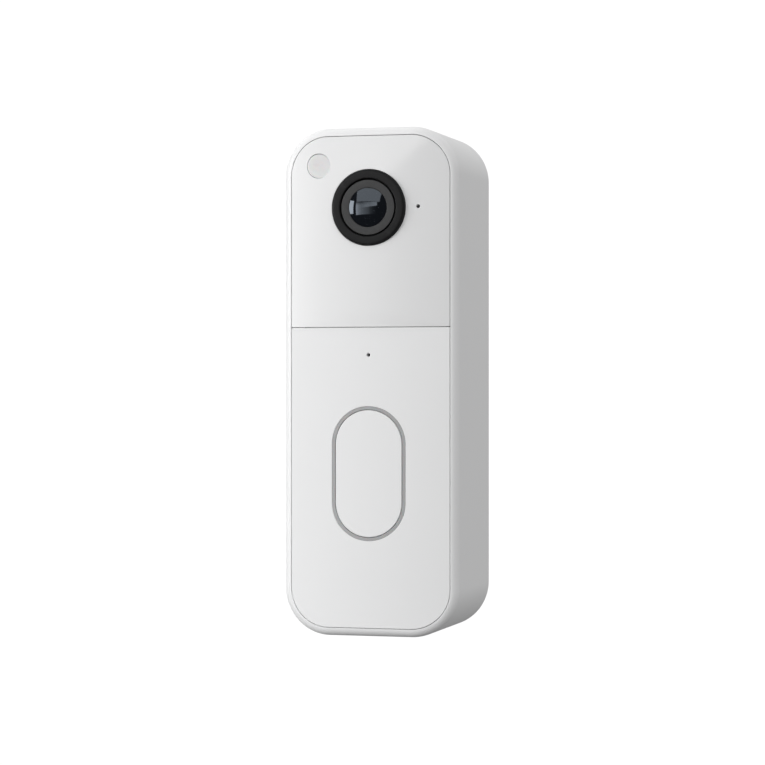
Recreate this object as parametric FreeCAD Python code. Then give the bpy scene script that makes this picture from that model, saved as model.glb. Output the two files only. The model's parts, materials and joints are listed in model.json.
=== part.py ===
"""A battery video doorbell with its wall plate, one solid group per piece.

Axes: X to the right as a visitor sees it, +Y into the wall, +Z up.
Origin: the centre of the wall plate's wall face. Millimetres.

Places are given as a distance out from the wall ("back" is the end nearer the
wall, "front" the end nearer the visitor), so Y is always minus that distance.
"""
import FreeCAD, Part
import math
import os

Vector = FreeCAD.Vector

# ---- Driving dimensions: the case ----------------------------------------------------------------
HEIGHT = 130.0            # over the outer frame
WIDTH = 46.4
CROWN = 1.6               # rise of the face from its side seams to the middle line
CORNER_RADIUS = 12.2
WALL = 2.05               # side wall, and the width of the bezel it shows at the front
BEZEL_ROUND = 1.95        # rounding from the side wall onto the face
REAR_GAP = 0.4            # between the frame's rear edge and the wall
SEAM = 0.13               # open line round each faceplate
FACE_THICKNESS = 1.8
GASKET_THICKNESS = 0.4    # adhesive foam between faceplates and ledge
LEDGE_WIDTH = 1.5
LEDGE_THICKNESS = 4.8     # ledge under the gasket, at the side seams
SPLIT_FROM_TOP = 51.0     # seam between the upper and the lower faceplate

# ---- Wall plate and latch ------------------------------------------------------------------------
PLATE_THICKNESS = 2.5
PLATE_FIT = 0.45          # between the plate's edge and the frame
SCREW_SPACING = 92.0      # between the two wall screw slots
SCREW_HOLE_RADIUS = 2.2
SCREW_SLOT_LENGTH = 8.0
SCREW_HEAD_RADIUS = 4.2
SCREW_HEAD_DEPTH = 1.3
SCREW_CENTRE = 8.0        # height of the middle between the slots
WIRE_OPENING = (18.0, 9.0)
WIRE_OPENING_CORNER = 2.0
TERMINAL_FROM_TOP = 25.0  # wire opening and bell wire terminals
TERMINAL_SPACING = 11.0
PEG_RADIUS = 2.0
PEG_SPACING = 26.0
PEG_FROM_TOP = 15.0
PEG_REACH = 3.4           # how far a peg stands out from the plate
PEG_CHAMFER = 0.4
PEG_FIT = 0.1
LATCH_WIDTH = 12.0
LATCH_HEIGHT = 9.0
LATCH_THICKNESS = 1.5
LATCH_FIT = 0.2
LATCH_TRAVEL = 1.6
LATCH_WING = 0.8          # wings that keep the latch in its guide
LATCH_WING_THICKNESS = 0.6
LATCH_CATCH = 0.9         # how far the catch reaches into the frame's lower wall
CATCH_WIDTH = 7.0
TOOL_HOLE_RADIUS = 1.1
LATCH_SPRING_LENGTH = 4.0
LATCH_SPRING_RADIUS = 0.56
LATCH_SPRING_WIRE = 0.12
LATCH_SPRING_TURNS = 7

# ---- Rear housing, battery tub and cover ---------------------------------------------------------
COVER_BACK = 2.95
COVER_THICKNESS = 1.6
HOUSING_THICKNESS = 1.6
HOUSING_FIT = 0.15
HOUSING_RIM_HEIGHT = 3.2
HOUSING_RIM_WIDTH = 2.2
SEAL_HEIGHT = 1.0
SEAL_WIDTH = 0.9
TUB_WALL = 1.2
CELL_RADIUS = 7.25        # AA cell
CELL_LENGTH = 49.5        # over the can, without the positive nub
CELL_NUB_RADIUS = 2.75
CELL_NUB_LENGTH = 1.0
CELL_FIT = 0.3
CELL_SPRING_LENGTH = 4.2
CELL_SPRING_RADIUS = 3.0
CELL_SPRING_WIRE = 0.35
CELL_SPRING_TURNS = 3
CONTACT_THICKNESS = 0.4
COVER_WIDTH = 37.0
COVER_OVER_RESET = 5.5    # cover's upper edge above the reset button's middle
COVER_UNDER_TUB = 7.4     # cover's lower edge below the tub
COVER_CORNER = 4.0
COVER_RIB_DEPTH = 1.2
COVER_RIB_THICKNESS = 0.9
COVER_GASKET_WIDTH = 1.4
COVER_GASKET_GROOVE = 0.7
BOSS_RADIUS = 2.3
BOSS_FIT = 0.25
BOSS_FROM_TOP = 30.0
BOSS_FROM_BOTTOM = 13.0
SCREW_RADIUS = 1.0        # small case and board screws
SCREW_HEAD = 1.9
SCREW_FIT = 0.05
HOUSING_SCREW_LENGTH = 7.0
COVER_SCREW_LENGTH = 4.0
COVER_SCREW_INSET = 6.5   # from the cover's side edge
TERMINAL_SCREW_LENGTH = 3.4
CROSS_RECESS_WIDTH = 0.5
CROSS_RECESS_DEPTH = 0.5
CROSS_RECESS_REACH = 0.6  # share of the head's radius
POST_HEIGHT = 4.0         # screw posts behind the housing plate
TUB_CORNER = 2.0
RIB_CORNER = 0.8
GRIP_COUNT = 5
GRIP_SPACING = 2.0
GRIP_WIDTH = 16.0
GRIP_HEIGHT = 0.8
GRIP_DEPTH = 0.3
GRIP_FROM_TOP = 24.0
TERMINAL_PLATE_SIZE = (6.0, 7.0)
TERMINAL_PLATE_THICKNESS = 0.6
TERMINAL_PLATE_OUTWARD = 1.1
CONTACT_WIDTH = 9.0
CONTACT_HEIGHT = 10.0
CELL_ROUND = 0.5

# ---- Camera --------------------------------------------------------------------------------------
LENS_FROM_TOP = 20.5
LENS_RING_RADIUS = 9.7
LENS_RING_STEP = 0.7      # how far the black ring stands above the face
LENS_RING_FIT = 0.08
LENS_RING_ROUND = 0.55
LENS_FLANGE_WIDTH = 1.7
LENS_FLANGE_THICKNESS = 1.5
LENS_SEAL_THICKNESS = 0.5
LENS_RING_ABOVE_CHASSIS = 3.0
RING_BORE_RADIUS = 7.35   # inside of the black ring's front
RETAINER_RADIUS = 7.0
RETAINER_DROP = 0.15      # retaining ring below the black ring's front
RETAINER_THICKNESS = 2.05
GLASS_RADIUS = 4.95
GLASS_FIT = 0.05
GLASS_DROP = 0.1          # glass edge below the retaining ring's front
GLASS_THICKNESS = 2.85    # at its edge
GLASS_DOME = 0.8
BARREL_RADIUS = 6.3
BARREL_FIT = 0.1
BARREL_LENGTH = 12.2
BARREL_MOUTH = (0.9, 1.2)  # wall left at the barrel's rear opening, and its depth
ELEMENT_RADIUS = 4.3
ELEMENT_PLACES = ((2.2, 1.6), (5.6, 1.2), (9.6, 1.8))   # (rear side behind the glass, thickness)
ELEMENT_BULGE = 0.35      # share of a lens's thickness that is its dome
CAMERA_BOX_DEPTH = 4.6
CAMERA_BOX_WALL = 1.2
CAMERA_BOARD_THICKNESS = 1.0
SENSOR_SIZE = 7.0
SENSOR_THICKNESS = 0.9
FILTER_SIZE = 6.4
FILTER_RIM = 0.8
FILTER_THICKNESS = 0.6
FILTER_GAP = 0.8         # between the sensor and the filter slide
FILTER_TRAVEL = 4.0
FILTER_ROOM = 0.3         # left beside the filter frame at either end of its travel
LIGHT_PATH_STEP = 0.6     # opening behind the barrel, smaller than its lenses
LAMP_RADIUS = 0.8
LAMP_CIRCLE = 8.4
LAMP_FIT = 0.1
LAMP_COVER = 0.5          # black ring left in front of each night lamp's bore

# ---- Sensors in the face -------------------------------------------------------------------------
MOTION_X = -13.45
MOTION_FROM_TOP = 9.6
MOTION_RADIUS = 3.1
MOTION_THICKNESS = 1.6
MOTION_DOME = 0.25
MOTION_CAN_RADIUS = 2.9
MOTION_CAN_HEIGHT = 4.0
MOTION_CAN_RIM = (0.5, 0.4)   # width and height of the can's foot
LIGHT_FROM_RING = 3.3     # light pipe's middle, beside the black ring
LIGHT_FROM_TOP = 20.4
LIGHT_PIPE_RADIUS = 0.4
LIGHT_SENSOR_SIZE = (2.0, 0.8)   # across, and height
LIGHT_SENSOR_GAP = 0.3
MICROPHONE_FROM_TOP = 58.1
MICROPHONE_RADIUS = 0.45
MICROPHONE_SIZE = (3.6, 1.0, 2.8)   # across, off the board, up
BOOT_RADIUS = 2.2

# ---- Press button --------------------------------------------------------------------------------
BUTTON_FROM_BOTTOM = 41.6
RING_WIDTH = 19.5         # over the light ring
RING_LENGTH = 34.4
RING_LINE = 0.87
CAP_FIT = 0.12
BUTTON_TRAVEL = 0.6
RING_FLANGE_WIDTH = 2.0
RING_FLANGE_GAP = 0.3     # between the flange and the back of the faceplate
RING_FLANGE_THICKNESS = 1.2
CAP_FLANGE = 0.9          # how far the cap reaches behind the ring
CAP_FLANGE_THICKNESS = 1.0
CAP_FLANGE_GAP = 0.1
CAP_POST_RADIUS = 2.2
CAP_SKIRT = 1.5           # wall round the cap's hollow
PLUNGER_SHARE = 0.6       # of the cap's travel that the plunger makes
PLUNGER_REACH = 0.6       # plunger beyond its switch
PLUNGER_SEAT = 0.5        # floor under the plunger's bore
PLUNGER_GAP = 0.3
PLUNGER_RADIUS = 1.6
SWITCH_SIZE = 6.0
SWITCH_HEIGHT = 2.2
GUIDE_WIDTH = 1.2
GUIDE_ABOVE_BOARD = 0.9
RING_LAMP_SIZE = (1.6, 0.7, 1.0)   # across, off the board, up

# ---- Chassis and boards --------------------------------------------------------------------------
CHASSIS_THICKNESS = 1.5
CHASSIS_FIT = 0.15
CHASSIS_RIM = 1.7         # from the chassis plate up to the ledge
BOARD_THICKNESS = 1.0
MAIN_BOARD_GAP = 1.25     # between the battery tub and the board
BOARD_PAD_HEIGHT = 0.7
BOARD_PAD_RADIUS = 2.0
MAIN_BOARD_INSET = 5.0
MAIN_BOARD_LENGTH = 99.0
BUTTON_BOARD_WIDTH = 30.0
BUTTON_BOARD_MARGIN = 4.4  # board beyond the microphone above and the light guide below
BUTTON_BOARD_CORNER = 2.0
CAMERA_WINDOW_FIT = 1.0   # round the camera, in board and chassis
BOARD_SCREW_RADIUS = 0.8
BOARD_SCREW_HEAD = (1.5, 0.8)    # radius and height
BOARD_SCREW_INSET = 2.5          # from the side of the battery tub
BOARD_SCREW_ABOVE = 3.0          # beyond the camera's window
BOARD_SCREW_BELOW = 4.0
BOARD_SCREW_SKIN = 0.35          # chassis left in front of each board screw
SHIELD_SIZE = (7.0, 2.0, 8.5)    # across, off the board, up
SHIELD_X = 6.9
SHIELD_SHEET = 0.3
RADIO_SIZE = (5.0, 1.0, 5.5)
PROCESSOR_SIZE = (9.0, 1.1, 7.0)
PROCESSOR_X = -8.5
MEMORY_SIZE = (6.0, 1.0, 3.3)
MEMORY_FROM_EDGE = 0.4
RADIO_RISE = -1.25        # chips' middles above the reset button
PROCESSOR_RISE = -2.0
ANTENNA_SIZE = (6.0, 8.0)        # along the board's edge, and back from it
ANTENNA_X = 6.0
ANTENNA_SHEET = 0.3
ANTENNA_FOOT = 3.0
CABLE_WIDTH = 6.0
CABLE_THICKNESS = 0.2
CABLE_LAP = 4.0           # cable lying on a board
BOARD_CABLE_X = 9.0
BOARD_CABLE_LAP = 3.0
BOARD_CABLE_RISE = 1.0

# ---- Speaker -------------------------------------------------------------------------------------
SPEAKER_RADIUS = 6.8
SPEAKER_WALL = 0.7
SPEAKER_SEAL = 0.6
SPEAKER_DEPTH = 5.0
CONE_TRAVEL = 0.3
COIL_RADIUS = 2.5
COIL_FIT = 0.3
MESH_THICKNESS = 0.2
SLOT_COUNT = 5
SLOT_SPACING = 2.4
SLOT_WIDTH = 1.1
SLOT_LENGTH = 7.0
MESH_WIDTH = 9.0
SPEAKER_SEAL_WIDTH = 1.0
MAGNET_WALL = 1.6
MAGNET_HEIGHT = 2.0
YOKE_THICKNESS = 0.5
COIL_WALL = 0.4
CONE_RISE = 0.9
CONE_SKIN = 0.3
CONE_RIM = (0.6, 0.2)     # width and thickness
CONE_CLEARANCE = 0.1

# ---- Reset button --------------------------------------------------------------------------------
RESET_RADIUS = 2.0
RESET_TRAVEL = 0.5
RESET_CLEARANCE = 0.1
RESET_DEPTH = 0.3         # button below the housing's rear side
RESET_FLANGE = (0.8, 1.0)  # width and thickness
RESET_STEM_RADIUS = 1.2
RESET_SWITCH_SIZE = (4.0, 2.0)   # across, and height
RESET_PLUNGER_RADIUS = 1.0
RESET_SWITCH_FLOOR = 0.4
RESET_FIT = 0.1


# ---- The stack from the wall to the face ---------------------------------------------------------
HOUSING_BACK = COVER_BACK + COVER_THICKNESS
HOUSING_FRONT = HOUSING_BACK + HOUSING_THICKNESS
CELL_DISTANCE = HOUSING_BACK + CELL_FIT + CELL_RADIUS
TUB_FLOOR = CELL_DISTANCE + CELL_RADIUS + CELL_FIT
MAIN_BOARD_BACK = TUB_FLOOR + TUB_WALL + MAIN_BOARD_GAP
CHASSIS_BACK = MAIN_BOARD_BACK + BOARD_THICKNESS + BOARD_PAD_HEIGHT
CHASSIS_FRONT = CHASSIS_BACK + CHASSIS_THICKNESS
LEDGE_BACK = CHASSIS_FRONT + CHASSIS_RIM
DEPTH = LEDGE_BACK + LEDGE_THICKNESS + GASKET_THICKNESS + FACE_THICKNESS   # wall to face, at the side seams


# ---- Shapes that every piece is made from --------------------------------------------------------
TOP = HEIGHT / 2
BOTTOM = -HEIGHT / 2
LENS_HEIGHT = TOP - LENS_FROM_TOP
MOTION_HEIGHT = TOP - MOTION_FROM_TOP
LIGHT_HEIGHT = TOP - LIGHT_FROM_TOP
SPLIT_HEIGHT = TOP - SPLIT_FROM_TOP
MICROPHONE_HEIGHT = TOP - MICROPHONE_FROM_TOP
BUTTON_HEIGHT = BOTTOM + BUTTON_FROM_BOTTOM
TERMINAL_HEIGHT = TOP - TERMINAL_FROM_TOP
HALF_FACE = WIDTH / 2 - WALL
CROWN_RADIUS = (HALF_FACE ** 2 + CROWN ** 2) / (2 * CROWN)
FACE_FRONT = DEPTH + CROWN          # the face at its middle line
PANEL_INSET = WALL + SEAM
BEYOND = 10.0                       # how far cutting tools run past what they cut


def slab(width, height, radius, back, front, x=0.0, z=0.0):
    """A block with rounded corners, facing the visitor, between two distances from the wall."""
    radius = min(radius, width / 2, height / 2)
    corners = ((1, 1), (-1, 1), (-1, -1), (1, -1))
    arcs = []
    for turn, (side_x, side_z) in enumerate(corners):
        centre_x = x + side_x * (width / 2 - radius)
        centre_z = z + side_z * (height / 2 - radius)
        points = []
        for eighth in range(3):
            angle = math.radians(90 * turn + 45 * eighth)
            points.append(Vector(centre_x + radius * math.cos(angle), -back, centre_z + radius * math.sin(angle)))
        arcs.append(points)
    edges = []
    for index, points in enumerate(arcs):
        edges.append(Part.Arc(*points).toShape())
        start = points[2]
        end = arcs[(index + 1) % len(arcs)][0]
        if start.distanceToPoint(end) > 1e-6:
            edges.append(Part.makeLine(start, end))
    return Part.Face(Part.Wire(edges)).extrude(Vector(0, back - front, 0))


def span_slab(width, bottom, top, radius, back, front):
    """The same block, given by its lower and upper edge."""
    return slab(width, top - bottom, radius, back, front, 0.0, (top + bottom) / 2)


def rod(radius, back, front, x=0.0, z=0.0):
    """A round bar along the depth."""
    return Part.makeCylinder(radius, front - back, Vector(x, -back, z), Vector(0, -1, 0))


def pipe(outer, inner, back, front, x=0.0, z=0.0):
    return rod(outer, back, front, x, z).cut(rod(inner, back - 1, front + 1, x, z))


def upright_rod(radius, bottom, top, x, distance):
    """A round bar standing along the height."""
    return Part.makeCylinder(radius, top - bottom, Vector(x, -distance, bottom), Vector(0, 0, 1))


def brick(x0, x1, back, front, bottom, top):
    return Part.makeBox(x1 - x0, front - back, top - bottom, Vector(x0, -front, bottom))


def inner_slab(inset, back, front):
    """A block that follows the case outline, set in from the case's side by `inset`."""
    return slab(WIDTH - 2 * inset, HEIGHT - 2 * inset, CORNER_RADIUS - inset, back, front)


def pill(width, length, back, front):
    """The button's outline: half circles above and below straight sides."""
    return slab(width, length, width / 2, back, front, 0.0, BUTTON_HEIGHT)


def crown_body(below=0.0):
    """Everything behind the face's crowned surface, or behind a layer `below` it."""
    radius = CROWN_RADIUS - below
    axis = Vector(0, CROWN_RADIUS - FACE_FRONT, -HEIGHT)
    return Part.makeCylinder(radius, 2 * HEIGHT, axis, Vector(0, 0, 1))


def crown_front(x, below=0.0):
    """Distance from the wall of the crowned face at `x`, or of a layer `below` it."""
    return FACE_FRONT - CROWN_RADIUS + math.sqrt((CROWN_RADIUS - below) ** 2 - x ** 2)


def together(shapes):
    """Join touching shapes into one solid."""
    whole = shapes[0]
    for shape in shapes[1:]:
        whole = whole.fuse(shape)
    return whole.removeSplitter()


def without(shape, tools):
    for tool in tools:
        shape = shape.cut(tool)
    return shape


def group(shapes):
    """Identical pieces kept as separate solids of one node."""
    return Part.makeCompound(shapes)


# ---- Places that follow from the sizes -----------------------------------------------------------
RIM_FRONT = HOUSING_FRONT + HOUSING_RIM_HEIGHT
BOARD_FRONT = CHASSIS_FRONT + BOARD_THICKNESS
CELL_PITCH = 2 * CELL_RADIUS + CELL_FIT / 2
TUB_INSIDE_WIDTH = CELL_PITCH + 2 * CELL_RADIUS + 2 * CELL_FIT
TUB_INSIDE_LENGTH = CELL_LENGTH + CELL_NUB_LENGTH + CELL_SPRING_LENGTH + 2 * CONTACT_THICKNESS + CELL_FIT
MESH_TOP = BOTTOM + WALL + MESH_THICKNESS
SPEAKER_BOTTOM = MESH_TOP + SPEAKER_SEAL
SPEAKER_TOP = SPEAKER_BOTTOM + SPEAKER_DEPTH
SPEAKER_DISTANCE = (RIM_FRONT + CHASSIS_BACK) / 2
BOARD_SCREW_X = TUB_INSIDE_WIDTH / 2 - BOARD_SCREW_INSET
BOARD_SCREW_END = CHASSIS_FRONT - BOARD_SCREW_SKIN
RING_FRONT = FACE_FRONT + LENS_RING_STEP
RING_BACK = CHASSIS_FRONT + LENS_RING_ABOVE_CHASSIS
RETAINER_FRONT = RING_FRONT - RETAINER_DROP
RETAINER_BACK = RETAINER_FRONT - RETAINER_THICKNESS
GLASS_EDGE = RETAINER_FRONT - GLASS_DROP
GLASS_BACK = GLASS_EDGE - GLASS_THICKNESS
BARREL_BACK = GLASS_BACK - BARREL_LENGTH
LENS_FLANGE_RADIUS = LENS_RING_RADIUS + LENS_FLANGE_WIDTH
LENS_FLANGE_FRONT = crown_front(LENS_FLANGE_RADIUS, FACE_THICKNESS) - LENS_SEAL_THICKNESS
LIGHT_X = LENS_RING_RADIUS + LIGHT_FROM_RING
CAMERA_BOX = FILTER_SIZE + 2 * (FILTER_RIM + FILTER_TRAVEL + FILTER_ROOM + CAMERA_BOX_WALL)
CAMERA_WINDOW = CAMERA_BOX + 2 * CAMERA_WINDOW_FIT
CAMERA_BOX_BACK = BARREL_BACK - CAMERA_BOX_DEPTH
CAMERA_BOX_BOTTOM = LENS_HEIGHT - CAMERA_BOX / 2
TUB_CENTRE = (SPEAKER_TOP + CAMERA_BOX_BOTTOM) / 2
TUB_BOTTOM = TUB_CENTRE - TUB_INSIDE_LENGTH / 2
TUB_TOP = TUB_CENTRE + TUB_INSIDE_LENGTH / 2
RESET_HEIGHT = (TUB_TOP + TUB_WALL + CAMERA_BOX_BOTTOM) / 2
COVER_TOP = RESET_HEIGHT + COVER_OVER_RESET
COVER_BOTTOM = TUB_BOTTOM - TUB_WALL - COVER_UNDER_TUB
BOSS_X = HALF_FACE - HOUSING_FIT - HOUSING_RIM_WIDTH - BOSS_FIT - BOSS_RADIUS
BOSSES = tuple((side * BOSS_X, z) for side in (-1, 1) for z in (TOP - BOSS_FROM_TOP, BOTTOM + BOSS_FROM_BOTTOM))
PEG_PLACES = ((-PEG_SPACING / 2, TOP - PEG_FROM_TOP), (PEG_SPACING / 2, TOP - PEG_FROM_TOP))
TERMINALS = (-TERMINAL_SPACING / 2, TERMINAL_SPACING / 2)
COVER_SCREW_X = COVER_WIDTH / 2 - COVER_SCREW_INSET
COVER_SCREWS = ((-COVER_SCREW_X, RESET_HEIGHT), (COVER_SCREW_X, RESET_HEIGHT),
                (0.0, COVER_BOTTOM + COVER_UNDER_TUB / 2))
RESET_SWITCH_BACK = MAIN_BOARD_BACK - RESET_SWITCH_SIZE[1]
RESET_PLUNGER_BACK = RESET_SWITCH_BACK - PLUNGER_REACH
LATCH_BACK = PLATE_THICKNESS - LATCH_THICKNESS
PLATE_BOTTOM = BOTTOM + WALL + PLATE_FIT
LATCH_TOP = PLATE_BOTTOM + LATCH_HEIGHT
LATCH_POCKET_TOP = LATCH_TOP + LATCH_SPRING_LENGTH
RING_FLANGE_FRONT = crown_front(RING_WIDTH / 2 + RING_FLANGE_WIDTH, FACE_THICKNESS) - RING_FLANGE_GAP
RING_FLANGE_BACK = RING_FLANGE_FRONT - RING_FLANGE_THICKNESS
CAP_FLANGE_FRONT = RING_FLANGE_BACK - CAP_FLANGE_GAP
CAP_FLANGE_BACK = CAP_FLANGE_FRONT - CAP_FLANGE_THICKNESS
PLUNGER_TRAVEL = PLUNGER_SHARE * BUTTON_TRAVEL
PLUNGER_FRONT = BOARD_FRONT + SWITCH_HEIGHT + PLUNGER_REACH
BUTTON_BOARD_TOP = MICROPHONE_HEIGHT + BUTTON_BOARD_MARGIN
BUTTON_BOARD_BOTTOM = BUTTON_HEIGHT - RING_LENGTH / 2 - BUTTON_BOARD_MARGIN


# ---- Case ----------------------------------------------------------------------------------------
def outer_frame():
    """One-piece side wall with the rolled bezel, open at the back."""
    body = inner_slab(0.0, REAR_GAP, FACE_FRONT + BEYOND).common(crown_body())
    face = min(body.Faces, key=lambda candidate: candidate.CenterOfMass.y)
    body = body.makeFillet(BEZEL_ROUND, face.Edges)
    body = body.cut(inner_slab(WALL, -BEYOND, FACE_FRONT + BEYOND))
    ledge = inner_slab(WALL, LEDGE_BACK, FACE_FRONT + BEYOND)
    ledge = ledge.cut(inner_slab(WALL + LEDGE_WIDTH, 0.0, FACE_FRONT + 2 * BEYOND))
    ledge = ledge.common(crown_body(FACE_THICKNESS + GASKET_THICKNESS))
    body = together([body, ledge])
    slots = []
    for index in range(SLOT_COUNT):
        x = (index - (SLOT_COUNT - 1) / 2) * SLOT_SPACING
        slots.append(brick(x - SLOT_WIDTH / 2, x + SLOT_WIDTH / 2, SPEAKER_DISTANCE - SLOT_LENGTH / 2,
                           SPEAKER_DISTANCE + SLOT_LENGTH / 2, BOTTOM - 1, BOTTOM + WALL + 1))
    half_notch = CATCH_WIDTH / 2 + LATCH_FIT
    notch = brick(-half_notch, half_notch, -1.0, PLATE_THICKNESS + LATCH_FIT,
                  BOTTOM + WALL - LATCH_CATCH - LATCH_FIT, BOTTOM + WALL + 1)
    tool_hole = upright_rod(TOOL_HOLE_RADIUS, BOTTOM - 1, BOTTOM + WALL, 0.0, LATCH_BACK + LATCH_THICKNESS / 2)
    return without(body, slots + [notch, tool_hole])


def faceplate_blank(bottom, top):
    """A crowned plate inside the bezel, between two heights."""
    blank = inner_slab(PANEL_INSET, LEDGE_BACK, FACE_FRONT + BEYOND)
    blank = blank.common(crown_body()).cut(crown_body(FACE_THICKNESS))
    return blank.common(brick(-WIDTH, WIDTH, 0.0, 2 * FACE_FRONT, bottom, top))


def upper_faceplate():
    blank = faceplate_blank(SPLIT_HEIGHT + SEAM / 2, HEIGHT)
    holes = [rod(LENS_RING_RADIUS + LENS_RING_FIT, 0, 2 * FACE_FRONT, 0.0, LENS_HEIGHT),
             rod(MOTION_RADIUS + LENS_RING_FIT, 0, 2 * FACE_FRONT, MOTION_X, MOTION_HEIGHT),
             rod(LIGHT_PIPE_RADIUS + SCREW_FIT, 0, 2 * FACE_FRONT, LIGHT_X, LIGHT_HEIGHT)]
    return without(blank, holes)


def lower_faceplate():
    blank = faceplate_blank(-HEIGHT, SPLIT_HEIGHT - SEAM / 2)
    holes = [pill(RING_WIDTH, RING_LENGTH, 0, 2 * FACE_FRONT),
             rod(MICROPHONE_RADIUS, 0, 2 * FACE_FRONT, 0.0, MICROPHONE_HEIGHT)]
    return without(blank, holes)


def face_gasket():
    """Foam adhesive ring between the faceplates and the frame's ledge."""
    ring = inner_slab(PANEL_INSET, LEDGE_BACK, FACE_FRONT + BEYOND)
    ring = ring.cut(inner_slab(WALL + LEDGE_WIDTH, 0.0, FACE_FRONT + 2 * BEYOND))
    return ring.common(crown_body(FACE_THICKNESS)).cut(crown_body(FACE_THICKNESS + GASKET_THICKNESS))


def rear_housing():
    """Back of the unit, with the battery tub sunk into it."""
    plate = inner_slab(WALL + HOUSING_FIT, HOUSING_BACK, HOUSING_FRONT)
    rim = inner_slab(WALL + HOUSING_FIT, HOUSING_FRONT, RIM_FRONT)
    rim = rim.cut(inner_slab(WALL + HOUSING_FIT + HOUSING_RIM_WIDTH, 0.0, RIM_FRONT + 1))
    tub = span_slab(TUB_INSIDE_WIDTH + 2 * TUB_WALL, TUB_BOTTOM - TUB_WALL, TUB_TOP + TUB_WALL, TUB_CORNER,
                    HOUSING_BACK, TUB_FLOOR + TUB_WALL)
    posts = [rod(BOSS_RADIUS, HOUSING_FRONT, HOUSING_FRONT + POST_HEIGHT, x, z) for x, z in COVER_SCREWS]
    posts += [rod(BOSS_RADIUS, HOUSING_FRONT, HOUSING_FRONT + POST_HEIGHT, x, TERMINAL_HEIGHT) for x in TERMINALS]
    body = together([plate, rim, tub] + posts)
    inside = span_slab(TUB_INSIDE_WIDTH, TUB_BOTTOM, TUB_TOP, RIB_CORNER, 0.0, TUB_FLOOR)
    groove = seal_ring(SEAL_WIDTH + 1)
    pegs = [rod(PEG_RADIUS + PEG_FIT, 0, HOUSING_FRONT + 1, x, z) for x, z in PEG_PLACES]
    reset = rod(RESET_RADIUS + RESET_FIT, 0, HOUSING_FRONT + 1, 0.0, RESET_HEIGHT)
    screws = [screw_hole(x, z, HOUSING_BACK, 2 * HOUSING_FRONT) for x, z in BOSSES]
    cover_screws = [rod(SCREW_RADIUS + SCREW_FIT, 0, HOUSING_FRONT + POST_HEIGHT - 1, x, z) for x, z in COVER_SCREWS]
    terminals = [rod(SCREW_RADIUS, 0, HOUSING_FRONT + POST_HEIGHT - 1, x, TERMINAL_HEIGHT) for x in TERMINALS]
    return without(body, [inside, groove, reset] + pegs + screws + cover_screws + terminals)


def seal_ring(depth):
    """The housing seal's cross-section, reaching `depth` in from the housing's rim."""
    back = HOUSING_FRONT + (HOUSING_RIM_HEIGHT - SEAL_HEIGHT) / 2
    ring = inner_slab(WALL, back, back + SEAL_HEIGHT)
    inner = WALL + HOUSING_FIT + min(depth, SEAL_WIDTH)
    return ring.cut(inner_slab(inner, 0.0, back + SEAL_HEIGHT + 1))


def housing_seal():
    return seal_ring(SEAL_WIDTH)


def screw_hole(x, z, back, front):
    """Clear hole with a pocket for a pan head, opening at `back`."""
    pocket = rod(SCREW_HEAD + SCREW_FIT, back - 1, back + SCREW_RADIUS, x, z)
    return pocket.fuse(rod(SCREW_RADIUS + SCREW_FIT, back - 1, front, x, z))


def pan_screw(x, z, back, length):
    """A small screw entered from behind, with a cross recess."""
    head = rod(SCREW_HEAD, back, back + SCREW_RADIUS, x, z)
    shank = rod(SCREW_RADIUS, back + SCREW_RADIUS, back + SCREW_RADIUS + length, x, z)
    reach = SCREW_HEAD * CROSS_RECESS_REACH
    half = CROSS_RECESS_WIDTH / 2
    floor = back + CROSS_RECESS_DEPTH
    across = brick(x - reach, x + reach, back - 1, floor, z - half, z + half)
    upright = brick(x - half, x + half, back - 1, floor, z - reach, z + reach)
    return without(head.fuse(shank), [across, upright])


def housing_screws():
    return group([pan_screw(x, z, HOUSING_BACK, HOUSING_SCREW_LENGTH) for x, z in BOSSES])


# ---- Battery cover, cells and contacts -----------------------------------------------------------
def cover_gasket_ring(back, front):
    """Ring round the tub's mouth, inside the cover's screws."""
    width = TUB_INSIDE_WIDTH + 2 * TUB_WALL
    bottom = TUB_BOTTOM - TUB_WALL
    top = TUB_TOP + TUB_WALL
    outer = span_slab(width, bottom, top, TUB_CORNER, back, front)
    edge = COVER_GASKET_WIDTH
    inner = span_slab(width - 2 * edge, bottom + edge, top - edge, TUB_CORNER - edge / 2, back - 1, front + 1)
    return outer.cut(inner)


def battery_cover():
    plate = span_slab(COVER_WIDTH, COVER_BOTTOM, COVER_TOP, COVER_CORNER, COVER_BACK, HOUSING_BACK)
    width = TUB_INSIDE_WIDTH - CELL_FIT
    bottom = TUB_BOTTOM + CELL_FIT / 2
    top = TUB_TOP - CELL_FIT / 2
    thick = COVER_RIB_THICKNESS
    rib = span_slab(width, bottom, top, RIB_CORNER, COVER_BACK, HOUSING_BACK + COVER_RIB_DEPTH)
    hollow = span_slab(width - 2 * thick, bottom + thick, top - thick, RIB_CORNER / 2, HOUSING_BACK,
                       2 * HOUSING_BACK)
    body = together([plate, rib.cut(hollow)])
    groove = cover_gasket_ring(HOUSING_BACK - COVER_GASKET_GROOVE, 2 * HOUSING_BACK)
    groove = groove.cut(span_slab(width, bottom, top, RIB_CORNER, 0.0, 3 * HOUSING_BACK))
    grips = []
    for index in range(GRIP_COUNT):
        z = COVER_TOP - GRIP_FROM_TOP + index * GRIP_SPACING
        grips.append(brick(-GRIP_WIDTH / 2, GRIP_WIDTH / 2, COVER_BACK - 1, COVER_BACK + GRIP_DEPTH, z,
                           z + GRIP_HEIGHT))
    holes = [screw_hole(x, z, COVER_BACK, 2 * HOUSING_BACK) for x, z in COVER_SCREWS]
    return without(body, [groove] + grips + holes)


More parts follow.
